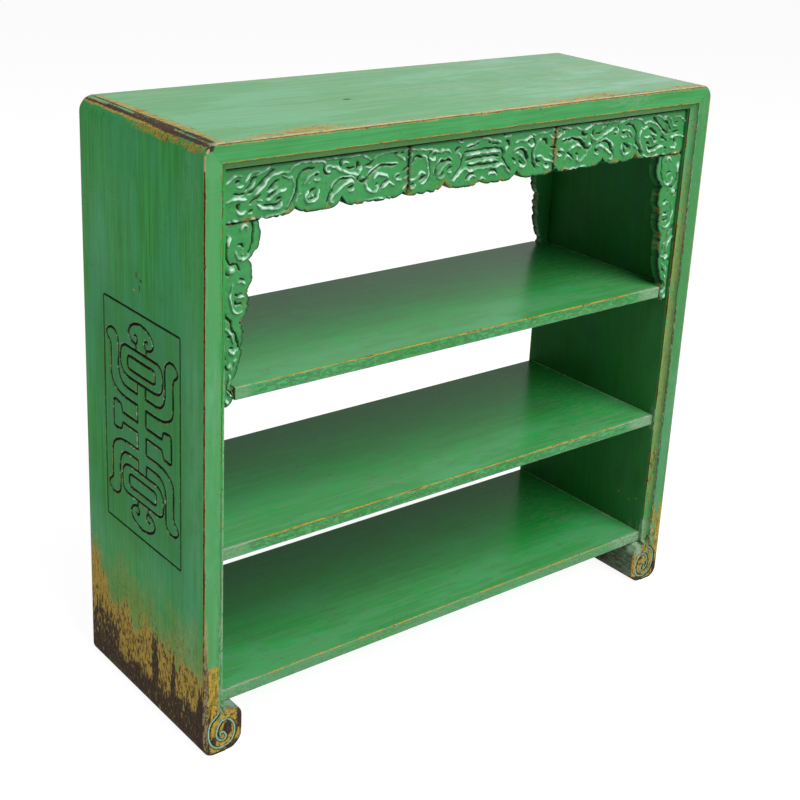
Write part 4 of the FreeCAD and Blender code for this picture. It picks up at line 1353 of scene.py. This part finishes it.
        points = np.stack([x, y, z], axis=2)
        index = np.arange(x.size).reshape(x.shape)
        around = np.hstack([index, index[:, :1]])
        rows_in = np.abs(heights - self.strap_middle) < self.strap_border()[1] + WELD
        columns_in = np.abs(face[0]) < self.strap_border()[0] + WELD
        rows_in, columns_in = np.flatnonzero(rows_in), np.flatnonzero(columns_in)
        row_ends, column_ends = (rows_in[0], rows_in[-1]), (columns_in[0], columns_in[-1])
        quads = np.array(grid_faces(around)).reshape(len(z) - 1, -1, 4)
        keep = np.ones(quads.shape[:2], bool)
        keep[row_ends[0]:row_ends[1], column_ends[0]:column_ends[1]] = False
        faces = quads[keep].tolist() + [index[0, ::-1].tolist(), index[-1].tolist()]
        fields = {key: grid.ravel() for key, grid in foot_fields(scroll, crack).items()}
        hole = grid_border(index[row_ends[0]:row_ends[1] + 1, column_ends[0]:column_ends[1] + 1])
        return self.with_strapwork(Surface(points.reshape(-1, 3), faces, fields), hole)

    def with_strapwork(self, board: Surface, hole: np.ndarray) -> Surface:
        """Set the fine strapwork panel into the opening in the outer face.

        The panel's depth is the strap lines' field, made steeper and cut off at 1, times their
        depth.

        Args:
            board: the board with an opening.
            hole: the point numbers round the opening.

        Returns:
            The closed board.
        """
        half_y, half_z = self.strap_half
        columns = np.linspace(half_y, -half_y, int(2 * half_y / self.strap_step) + 1)
        rows = np.linspace(-half_z, half_z, int(2 * half_z / self.strap_step) + 1)
        across, up = np.meshgrid(columns, rows)
        steps = (rows[1] - rows[0], columns[0] - columns[1])
        line = stroke_field(np.abs(across) / MM, np.abs(up) / MM, STRAP_LINES)
        line = blurred(line, steps, self.strap_soften)
        sunk = self.strap_depth * np.clip(self.strap_steepness * line, 0, 1)
        points = np.stack([-self.case.half_width + sunk, across, up + self.strap_middle], axis=2)
        index = len(board.points) + np.arange(line.size).reshape(line.shape)
        border = grid_border(index)
        every = np.vstack([board.points, points.reshape(-1, 3)])

        loops = np.concatenate([hole, border])
        spots = [Vector((y, z)) for _, y, z in every[loops].tolist()]
        count = len(hole)
        edges = [(at, (at + 1) % count) for at in range(count)]
        edges += [(count + at, count + (at + 1) % len(border)) for at in range(len(border))]
        _, _, triangles, origins, _, _ = delaunay_2d_cdt(spots, edges, [], 1, MEET)
        ring = [[int(loops[origins[corner][0]]) for corner in triangle][::-1]
                for triangle in triangles
                if any(origins[corner][0] < count for corner in triangle)]

        # Painted glints in patches and a painted highlight along the lines go into the pale field
        glint = self.glint.of(unevenness(line.shape, steps, self.glint_size, self.seed))
        fields = {"mint": (self.strap_highlight + glint) * outlined(line),
                  "hollow": self.strap_dirt.of(line),
                  "rim": self.strap_rim * outlined(line)}
        board.fields["rim"] = 0 * board.fields["mint"]
        joined = {key: np.concatenate([board.fields[key], grid.ravel()])
                  for key, grid in fields.items()}
        return Surface(every, board.faces + grid_faces(index) + ring, joined)

    def build(self, material: bpy.types.Material) -> None:
        """Make both side boards.

        Args:
            material: lacquer with its grain upright.
        """
        left = self.left()
        right = left.mirrored(Axis.X)
        right.fields = {**left.fields, "mint": self.right_paint_and_glint * left.fields["mint"]}
        for side, surface in (("left", left), ("right", right)):
            surface.make(f"{side}_side_board_carved", (f"{side}_side_board",),
                         "green_lacquer", material, self.crease)


def patched(pair: tuple[float, float], patch: np.ndarray) -> np.ndarray:
    """What holds at each point: the pair's first value outside a patch, its second inside."""
    return pair[0] + (pair[1] - pair[0]) * patch


# Added to a board's own seed, one for each kind of unevenness
SWERVE_SEEDS = (20, 30)
PAINT_SEED = 40
RIPPLE_SEED = 60
GROUND_SEED = 80


@dataclass
class Relief:
    """How the carver works a board: levels below its face and widths of blurs, in metres.

    A pair is what holds outside and inside a patch, and a mark is read on the measure that it is
    named for.
    """

    field_level: float = 4.0 * MM
    swell: float = 1.6 * MM
    swell_width: float = 4.5 * MM
    rise: float = 3.4 * MM
    cut: float = 3.6 * MM
    cut_power: float = 0.7          # below 1 it makes the cuts' floors flatter
    sink: float = 3.2 * MM
    sink_width: float = 3.2 * MM
    arris: float = 1.6 * MM
    uneven: float = 0.25 * MM
    uneven_width: float = 2.2 * MM
    soften: float = 0.5 * MM
    swerve: float = 0.7 * MM
    swerve_width: float = 3.0 * MM
    ripple: float = 1.7 * MM
    ripple_width: float = 2.6 * MM
    # Where paint is left and highlights are painted, where dirt holds and shade is painted, and
    # where the ground shows
    level_width: float = 4.0 * MM
    slope_width: float = 0.6 * MM
    paint_width: float = 3.6 * MM
    ground_width: float = 6.0 * MM
    paint_patch: Mark = Mark(1.0, -0.5, 0.8)
    ground_patch: Mark = Mark(1.0, 0.2, 1.0)
    # Pale: rubbed paint and a painted highlight on crests, painted highlights on slopes that face
    # up and on what stands proud
    crest_paint_and_highlight: Mark = Mark(1.0, 0.3, 0.85)
    crest_patched: tuple[float, float] = (0.05, 0.9)
    upward_highlight: Mark = Mark(0.5, 0.35, 1.2)
    upward_patched: tuple[float, float] = (0.3, 1.0)
    proud_highlight: Mark = Mark(0.2, 0.1, 0.6)
    # Dark: dirt and painted shade in hollows, painted shade on slopes that face down and in what
    # lies low, dirt and a painted shadow along free edges
    hollow_dirt_and_shade: Mark = Mark(0.45, 0.2, 0.9)
    downward_shade: Mark = Mark(0.5, 0.3, 1.2)
    low_shade: Mark = Mark(0.4, 0.05, 0.7)
    edge_dirt_and_shadow: tuple[float, float] = (0.95, 0.475)
    edge_reach: tuple[float, float] = (3.4 * MM, 5.4 * MM)
    rim_ground: tuple[float, float] = (0.25, 0.75)
    most_paint_and_highlight: float = 0.95
    most_dirt_and_shade: float = 0.97
    most_ground: float = 0.75

    def rippled(self, count: int, step: float, seed: int) -> np.ndarray:
        """How far the free edge is worn back along its length."""
        worn = unevenness((1, count), (1, step), self.ripple_width, seed)[0]
        return self.ripple * np.clip(worn, 0, 2)

    def depth(self, ridge: np.ndarray, hollow: np.ndarray, to_edge: np.ndarray,
              steps: tuple[float, float], seed: int) -> np.ndarray:
        """Work out how deep each point lies below the face.

        The field lies at its level and swells round the ridges by a blur of them. Ridges rise
        from it. Hollows are cut into it, and round each the field sinks by a blur of it, so that
        what stands between is rounded. At the board's edges it falls away by
        exp(-(distance / arris)^2).

        Args:
            ridge: the ridges' field.
            hollow: the hollows' field.
            to_edge: distance to the nearest free edge, in metres.
            steps: the spacing of the rows and of the columns.
            seed: for the unevenness.

        Returns:
            Depths in metres, none above the face.
        """
        low = blurred(hollow, steps, self.sink_width)
        high = blurred(ridge, steps, self.swell_width)
        depth = (self.field_level - self.swell * high - self.rise * ridge * (1 - hollow)
                 + self.cut * hollow ** self.cut_power + self.sink * low)
        depth += self.arris * np.exp(-(to_edge / self.arris) ** 2)
        depth += self.uneven * unevenness(ridge.shape, steps, self.uneven_width, seed)
        return np.maximum(blurred(depth, steps, self.soften), 0)

    def strokes(self, across: np.ndarray, up: np.ndarray, steps: tuple[float, float], seed: int,
                ridges: tuple, hollows: tuple) -> tuple[np.ndarray, np.ndarray]:
        """The ridges' and the hollows' fields, drawn with an unsteady hand.

        Args:
            across: places across, in metres.
            up: places up, in metres.
            steps: the spacing of the rows and of the columns.
            seed: for the unsteadiness.
            ridges: the ridges' table.
            hollows: the hollows' table.

        Returns:
            Both fields.
        """
        swerve = [self.swerve * unevenness(across.shape, steps, self.swerve_width, seed + more)
                  for more in SWERVE_SEEDS]
        x, z = (across + swerve[0]) / MM, (up + swerve[1]) / MM
        return stroke_field(x, z, ridges), stroke_field(x, z, hollows)

    def fields(self, ridge: np.ndarray, hollow: np.ndarray, depth: np.ndarray,
               to_edge: np.ndarray, shade: np.ndarray, steps: tuple[float, float],
               seed: int) -> dict[str, np.ndarray]:
        """Fields for the finish.

        Crests and slopes that face up are made pale in patches: rubbed paint and a painted
        highlight on crests, a painted highlight on slopes, and what stands proud gets a painted
        highlight too.
        Hollows hold grime and painted shade, slopes that face down and what lies below a blur of
        the depth get painted shade, and the free edges hold grime and a painted shadow. The ground
        shows in patches along the hollows' rims and the free edges. A slope is the depth's rise
        per rise in height, and what stands proud is measured in shares of the ridges' rise.

        Args:
            ridge: the ridges' field.
            hollow: the hollows' field.
            depth: depths below the face.
            to_edge: distance to the nearest free edge.
            shade: more painted shade, from 0 to 1.
            steps: the spacing of the rows and of the columns.
            seed: for the patches.

        Returns:
            The fields by name.
        """
        proud = (blurred(depth, steps, self.level_width) - depth) / self.rise
        slope = np.gradient(blurred(depth, steps, self.slope_width), steps[0], axis=0)
        paint = self.paint_patch.of(
            unevenness(ridge.shape, steps, self.paint_width, seed + PAINT_SEED))
        ground = self.ground_patch.of(
            unevenness(ridge.shape, steps, self.ground_width, seed + GROUND_SEED))
        at_edge = np.exp(-(to_edge / patched(self.edge_reach, ground)) ** 2)
        # Paint and painted highlights
        painted = (self.crest_paint_and_highlight.of(ridge) * (1 - hollow) * patched(self.crest_patched, paint)
                   + self.upward_highlight.of(slope) * patched(self.upward_patched, paint)
                   + self.proud_highlight.of(proud))
        # Dirt and painted shade, with the painted shade passed in and a painted shadow along the
        # free edges
        dirt_and_shade_amount = (self.hollow_dirt_and_shade.of(hollow) + shade + self.downward_shade.of(-slope)
                 + self.low_shade.of(-proud) + patched(self.edge_dirt_and_shadow, ground) * at_edge)
        shown = outlined(hollow) * patched(self.rim_ground, ground) + at_edge * ground
        return {"raised": np.clip(painted, 0, self.most_paint_and_highlight),
                "hollow": np.clip(dirt_and_shade_amount, 0, self.most_dirt_and_shade),
                "rim": np.clip(shown, 0, self.most_ground)}


@dataclass
class Aprons:
    """The carved aprons, each in three boards, at the front and at the back."""

    case: Case
    relief: Relief
    front: float = -0.185
    back: float = -0.163
    height: float = 0.089
    step: float = 1.1 * MM
    seams: tuple[float, float] = (-0.162, 0.17)
    seam_gap: float = 0.6 * MM
    scallop_rise: float = 15 * MM
    scallop_foot: float = 24 * MM
    cusps: tuple[float, ...] = (0.0, 0.159, 0.333, 0.574, 0.745, 0.872, 1.0)
    rises: tuple[float, ...] = (0.25, 1.0, 0.4, 0.92, 0.73, 0.0, 0.0)
    end_share: float = 0.9          # how far an end counts as a free edge
    # Painted shade by the height above the ceiling, where the top board's overhang shades the
    # apron, and by how far a point lies past the wall, in the gap beside the side board
    ceiling_shade: tuple[Mark, ...] = (Mark(0.95, -4.4 * MM, -3.2 * MM),
                                      Mark(0.6, -10 * MM, -4 * MM))
    wall_shade: Mark = Mark(0.6, -5 * MM, -2 * MM)
    crease: float = 55              # degrees

    def lower_edge(self, x: np.ndarray) -> np.ndarray:
        """Heights of the scalloped lower edge above the lobes' flats.

        Between two cusps the edge is flat, and near a cusp it follows a circle that is tangent
        to the flat and meets the cusp: R - sqrt(R^2 - d^2), with d the distance past the foot
        and R = (reach^2 + rise^2) / (2 rise).

        Args:
            x: places across, from the middle.

        Returns:
            Heights above the lobes' flats.
        """
        cusps = np.array(self.cusps) * self.case.wall
        rises = np.array(self.rises) * self.scallop_rise
        at = np.clip(np.searchsorted(cusps, np.abs(x), side="right") - 1, 0, len(cusps) - 2)
        reach = np.minimum(self.scallop_foot, (cusps[at + 1] - cusps[at]) / 3)
        height = np.zeros_like(x)
        for rise, past in ((rises[at], cusps[at] + reach - np.abs(x)),
                           (rises[at + 1], np.abs(x) - cusps[at + 1] + reach)):
            radius = (reach ** 2 + rise ** 2) / (2 * np.maximum(rise, WELD))
            past = np.clip(past, 0, reach)
            height += np.where(rise > 0, radius - np.sqrt(radius ** 2 - past ** 2), 0)
        return height

    def board(self, low: float, high: float, seed: int) -> Surface:
        """Build the board between two places across.

        The grid's columns are upright lines from the scalloped edge to the ceiling.

        Args:
            low: its left end.
            high: its right end.
            seed: for the unevenness.

        Returns:
            The board's surface.
        """
        base = self.case.ceiling - self.height
        x = np.linspace(low, high, int((high - low) / self.step) + 1)
        cusps = np.array(self.cusps) * self.case.wall
        x = spread_with(x, np.concatenate([-cusps, cusps]))
        share = np.linspace(0, 1, int(self.height / self.step) + 1)[:, None]
        worn = self.relief.rippled(len(x), x[1] - x[0], seed + RIPPLE_SEED)
        foot = (self.lower_edge(x) + worn)[None, :]
        up = foot + share * (self.height - foot)
        across = np.repeat(x[None, :], len(share), axis=0)
        steps = (self.height * (share[1, 0] - share[0, 0]), x[1] - x[0])
        ridge, hollow = self.relief.strokes(np.abs(across), up, steps, seed, APRON_RIDGES,
                                            APRON_HOLLOWS)
        ends = [np.abs(across - end) for end in (low, high) if abs(end) < self.case.wall - WELD]
        to_edge = np.minimum.reduce([up - foot] + [self.end_share * gap for gap in ends])
        depth = self.relief.depth(ridge, hollow, to_edge, steps, seed)
        front = np.stack([across, self.front + depth, base + up], axis=2)
        # Painted shade: the shadow beside the side board and under the top board's overhang
        shade = self.wall_shade.of(np.abs(across) - self.case.wall)
        for dirt_and_shade in self.ceiling_shade:
            shade += dirt_and_shade.of(up - self.height)
        return board_from_front(front, self.back, self.relief.fields(
            ridge, hollow, depth, to_edge, shade, steps, seed))

    def build(self, material: bpy.types.Material) -> None:
        """Make the six boards.

        Args:
            material: carved lacquer.
        """
        half = self.seam_gap / 2
        spans = ((-self.case.wall, self.seams[0] - half),
                 (self.seams[0] + half, self.seams[1] - half),
                 (self.seams[1] + half, self.case.wall))
        for seed, (side, (low, high)) in enumerate(zip(("left", "centre", "right"), spans), 1):
            board = self.board(low, high, seed)
            for face, surface in (("front", board), ("back", board.mirrored(Axis.Y))):
                surface.make(f"{face}_apron_{side}_carved", (f"{face}_apron_{side}",),
                             "carved_green_lacquer", material, self.crease)


@dataclass
class Spandrels:
    """The four carved spandrels that hang from the aprons along the side boards."""

    case: Case
    relief: Relief
    front: float = -0.185
    back: float = -0.163
    top: float = 0.925
    tip: float = 0.626
    width: float = 68 * MM
    step: float = 1.1 * MM
    # Each row: drop share at the cusp, width share at the cusp, width share midway to the next
    edge_shares: tuple[tuple[float, float, float], ...] = (
        (0.0, 0.94, 1.0), (0.205, 0.72, 0.82), (0.385, 0.66, 0.71), (0.525, 0.52, 0.53),
        (0.88, 0.24, 0.34), (1.0, 0.13, 0.0))
    most_worn: float = 0.3          # of the width, where its edge is worn back
    top_share: float = 2.2          # how far its top end counts as a free edge
    # Painted shadow in the gap along the side board
    wall_shade: Mark = Mark(0.6, -4 * MM, -1.5 * MM)
    crease: float = 55              # degrees
    seed: int = 9
    edge_seed: int = 70

    def edge_width(self, drop: np.ndarray) -> np.ndarray:
        """How wide the board is at each drop below the apron.

        Between two cusps the edge is the circle through them and a point midway. With its middle
        (a, b) and radius R, the width is a +/- sqrt(R^2 - (drop - b)^2), on the midway point's
        side.

        Args:
            drop: drops below the apron, in metres.

        Returns:
            Widths in metres.
        """
        shares = np.array(self.edge_shares)
        fall = self.top - self.tip
        result = np.zeros_like(drop)
        for upper, lower in zip(shares, shares[1:]):
            x = self.width * np.array([upper[1], upper[2], lower[1]])
            y = fall * np.array([upper[0], (upper[0] + lower[0]) / 2, lower[0]])
            sides = 2 * np.array([[x[1] - x[0], y[1] - y[0]], [x[2] - x[0], y[2] - y[0]]])
            squares = np.array([x[1] ** 2 - x[0] ** 2 + y[1] ** 2 - y[0] ** 2,
                                x[2] ** 2 - x[0] ** 2 + y[2] ** 2 - y[0] ** 2])
            middle = np.linalg.solve(sides, squares)
            radius = math.hypot(x[0] - middle[0], y[0] - middle[1])
            here = (drop >= y[0] - WELD) & (drop <= y[2] + WELD)
            reach = np.sqrt(np.maximum(radius ** 2 - (drop[here] - middle[1]) ** 2, 0))
            result[here] = middle[0] + math.copysign(1, x[1] - middle[0]) * reach
        return result

    def left(self) -> Surface:
        """Build the front left spandrel.

        The grid's rows are level lines from the side board to the lobed edge.

        Returns:
            The spandrel's surface.
        """
        fall = self.top - self.tip
        drop = np.linspace(fall, 0, int(fall / self.step) + 1)
        drop = spread_with(drop, fall * np.array(self.edge_shares)[:, 0])[:, None]
        wide = self.edge_width(drop)
        worn = self.relief.rippled(len(drop), self.step, self.edge_seed)[:, None]
        wide = wide - np.minimum(worn, self.most_worn * wide)
        share = np.linspace(0, 1, int(self.width / self.step) + 1)[None, :]
        across = share * wide
        down = np.repeat(drop, share.size, axis=1)
        steps = (fall / (len(drop) - 1), self.width / (share.size - 1))
        ridge, hollow = self.relief.strokes(across, down, steps, self.seed, SPANDREL_RIDGES,
                                            SPANDREL_HOLLOWS)
        to_edge = np.minimum.reduce([wide - across, self.top_share * down, fall - down])
        depth = self.relief.depth(ridge, hollow, to_edge, steps, self.seed)
        front = np.stack([across - self.case.wall, self.front + depth, self.top - down], axis=2)
        # Painted shadow along the side board
        shade = self.wall_shade.of(-across)
        return board_from_front(front, self.back, self.relief.fields(
            ridge, hollow, depth, to_edge, shade, steps, self.seed))

    def build(self, material: bpy.types.Material) -> None:
        """Make the four spandrels.

        Args:
            material: carved lacquer.
        """
        left = self.left()
        pieces = {"front_left": left, "front_right": left.mirrored(Axis.X),
                  "back_left": left.mirrored(Axis.Y),
                  "back_right": left.mirrored(Axis.X).mirrored(Axis.Y)}
        for place, surface in pieces.items():
            surface.make(f"{place}_spandrel_carved", (f"{place}_spandrel",),
                         "carved_green_lacquer", material, self.crease)


@dataclass
class FootScrolls:
    """The scroll blocks inside the feet, with the carved scroll on both ends."""

    case: Case
    width: float = 32 * MM
    top_radius: float = 26 * MM
    sole_radius: float = 28 * MM
    step: float = 1.4 * MM
    turn_rows: int = 15
    side_rows: int = 20
    scroll_depth: float = 2.2 * MM
    arris: float = 1.2 * MM
    crease: float = 40              # degrees

    def outline(self, z: np.ndarray) -> np.ndarray:
        """Work out how wide the roll is: quarter rounds below and above a flat side.

        Args:
            z: heights.

        Returns:
            Widths.
        """
        low = np.clip(1 - z / self.sole_radius, 0, 1)
        high = np.clip((z - self.case.shelf_bottom + self.top_radius) / self.top_radius, 0, 1)
        return (self.width - self.sole_radius * (1 - np.sqrt(1 - low ** 2))
                - self.top_radius * (1 - np.sqrt(1 - high ** 2)))

    def left(self) -> Surface:
        """Build the left block: a carved grid at the front, the same at the back, and the roll.

        Returns:
            The block's surface.
        """
        top = self.case.shelf_bottom
        turn = np.linspace(0, math.pi / 2, self.turn_rows)
        z = np.concatenate([
            self.sole_radius * (1 - np.cos(turn)),
            np.linspace(self.sole_radius, top - self.top_radius, self.side_rows)[1:-1],
            top - self.top_radius * (1 - np.sin(turn))])[:, None]
        share = np.linspace(0, 1, int(self.width / self.step) + 1)[None, :]
        x = -self.case.wall + share * self.outline(z)
        z = np.repeat(z, share.size, axis=1)
        scroll, crack = foot_carving(x, z)
        to_edge = np.minimum.reduce([z, top - z, (1 - share) * self.outline(z)])
        sunk = self.scroll_depth * scroll + self.arris * np.exp(-(to_edge / self.arris) ** 2)
        index = np.arange(x.size).reshape(x.shape)
        front = np.stack([x, -self.case.half_depth + sunk, z], axis=2).reshape(-1, 3)
        back = front * np.array([1, -1, 1])
        border = grid_border(index)
        faces = grid_faces(index)
        faces += [(np.array(face[::-1]) + x.size).tolist() for face in faces]
        faces += strip_faces(border, border + x.size)
        fields = foot_fields(scroll, crack)
        return Surface(np.vstack([front, back]), faces,
                       {key: np.tile(grid.ravel(), 2) for key, grid in fields.items()})

    def build(self, material: bpy.types.Material) -> None:
        """Make both blocks.

        Args:
            material: the feet's lacquer.
        """
        left = self.left()
        for side, surface in (("left", left), ("right", left.mirrored(Axis.X))):
            surface.make(f"{side}_foot_scroll_carved", (f"{side}_foot_scroll",),
                         "worn_ochre_lacquer", material, self.crease)


@dataclass(frozen=True)
class Lamp:
    """A soft square lamp: its place, the point it is turned to, its side and its power."""

    name: str
    place: tuple[float, float, float]
    aim: tuple[float, float, float]
    side: float
    power: float

    def build(self) -> None:
        """Make the lamp."""
        lamp = bpy.data.lights.new(self.name, "AREA")
        lamp.size = self.side
        lamp.energy = self.power
        holder = bpy.data.objects.new(self.name, lamp)
        holder.location = self.place
        ray = Vector(self.aim) - Vector(self.place)
        holder.rotation_euler = ray.to_track_quat("-Z", "Y").to_euler()
        bpy.context.scene.collection.objects.link(holder)


LAMPS = (
    Lamp("top_light", (0.2, -0.7, 3.6), (0, 0, 0.6), 2.4, 26),
    Lamp("front_light", (0.7, -3.8, 5.3), (0, 0, 0.5), 4.4, 330),
    Lamp("low_light", (1.0, -4.4, 0.9), (0, 0, 0.5), 2.0, 45),
    Lamp("left_light", (-3.4, 0.0, 0.9), (0, 0, 0.5), 0.6, 25),
)


@dataclass
class Studio:
    """The floor, the lights and the camera."""

    eye: tuple[float, float, float] = (-1.62486, -1.9705, 1.53698)
    right: tuple[float, float, float] = (0.784306, -0.618609, 0.046769)
    up: tuple[float, float, float] = (0.171261, 0.288358, 0.942082)
    lens: float = 65.03             # millimetres, as the film
    film: float = 36
    shift_y: float = -0.11
    ambient: float = 0.06
    floor_size: float = 30.0
    floor_tone: str = "e1e1e1"
    floor_shadow: str = "898989"    # how strongly lamps and shadows show on the seen floor
    floor_glow: float = 0.93

    def build(self) -> None:
        """Make the floor, the world, the lamps and the camera."""
        self.make_floor()
        self.make_world()
        for lamp in LAMPS:
            lamp.build()
        self.make_camera()

    def make_floor(self) -> None:
        """A pale floor that the camera and reflections see as white, with the shadow kept."""
        half = self.floor_size / 2
        mesh = bpy.data.meshes.new("floor")
        corners = [(-half, -half, 0), (half, -half, 0), (half, half, 0), (-half, half, 0)]
        mesh.from_pydata(corners, [], [(0, 1, 2, 3)])
        floor = bpy.data.objects.new("floor", mesh)
        bpy.context.scene.collection.objects.link(floor)
        material = bpy.data.materials.new("pale_floor")
        material.use_nodes = True
        tree = material.node_tree
        tree.nodes.clear()
        seen = self.seen_directly(tree)
        plain = add_node(tree, "BsdfDiffuse", {"Color": linear(self.floor_tone)})
        shade = add_node(tree, "BsdfDiffuse", {"Color": linear(self.floor_shadow)})
        glow = add_node(tree, "Emission", {"Color": linear("ffffff"),
                                           "Strength": self.floor_glow})
        white = add_node(tree, "AddShader", {0: shade.outputs[0], 1: glow.outputs[0]})
        mixed = add_node(tree, "MixShader", {0: seen, 1: plain.outputs[0], 2: white.outputs[0]})
        add_node(tree, "OutputMaterial", {"Surface": mixed.outputs[0]})
        mesh.materials.append(material)

    @staticmethod
    def seen_directly(tree: bpy.types.NodeTree) -> bpy.types.NodeSocket:
        """Tell rays from the camera, and mirrored and refracted ones, from the rest.

        Args:
            tree: the node tree.

        Returns:
            1 for those rays, else 0.
        """
        path = add_node(tree, "LightPath").outputs
        seen = joined(tree, Join.LARGEST, path["Is Camera Ray"], path["Is Glossy Ray"])
        return joined(tree, Join.LARGEST, seen, path["Is Transmission Ray"])

    def make_world(self) -> None:
        """A white surround, dimmer where it lights the cabinet."""
        world = bpy.data.worlds.new("white_surround")
        bpy.context.scene.world = world
        world.use_nodes = True
        tree = world.node_tree
        tree.nodes.clear()
        strength = add_node(tree, "MapRange", {0: self.seen_directly(tree), 3: self.ambient,
                                               4: 1.0}).outputs[0]
        back = add_node(tree, "Background", {"Color": linear("ffffff"), "Strength": strength})
        add_node(tree, "OutputWorld", {"Surface": back.outputs[0]})

    def make_camera(self) -> None:
        """The camera, left of the cabinet and above it, looking down over the front."""
        lens = bpy.data.cameras.new("camera")
        lens.sensor_width = self.film
        lens.lens = self.lens
        lens.shift_y = self.shift_y
        camera = bpy.data.objects.new("camera", lens)
        right, up = Vector(self.right).normalized(), Vector(self.up)
        back = right.cross(up).normalized()
        up = back.cross(right)
        camera.matrix_world = Matrix.Translation(self.eye) @ Matrix(
            (right, up, back)).transposed().to_4x4()
        bpy.context.scene.collection.objects.link(camera)
        bpy.context.scene.camera = camera


def dress(nodes: tuple[str, ...], material: bpy.types.Material) -> None:
    """Give solids that stay as they are their material.

    Args:
        nodes: their names.
        material: the material.
    """
    for name in nodes:
        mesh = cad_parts[name].data
        mesh.materials.clear()
        mesh.materials.append(material)
        log.info("%s: %s", name, material.name)


def main() -> None:
    """Build the cabinet's looks."""
    logging.basicConfig(level=logging.INFO, format="%(name)s: %(message)s")
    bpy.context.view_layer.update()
    case, relief = Case(), Relief()
    dress(("top_board",), TOP.material())
    dress(tuple(name for _, _, name in SHELF_PLACES), SHELVES.material())
    dress(("foot_dowels", "apron_joint_pegs", "spandrel_pegs"), PlainElm().material())
    carved = CARVED.material()
    SideBoards(case).build(SIDE.material())
    Aprons(case, relief).build(carved)
    Spandrels(case, relief).build(carved)
    FootScrolls(case).build(FOOT.material())
    Studio().build()
    scene = bpy.context.scene
    scene.view_settings.view_transform = "Standard"
    bpy.context.view_layer.update()


if __name__ == "__main__":
    main()
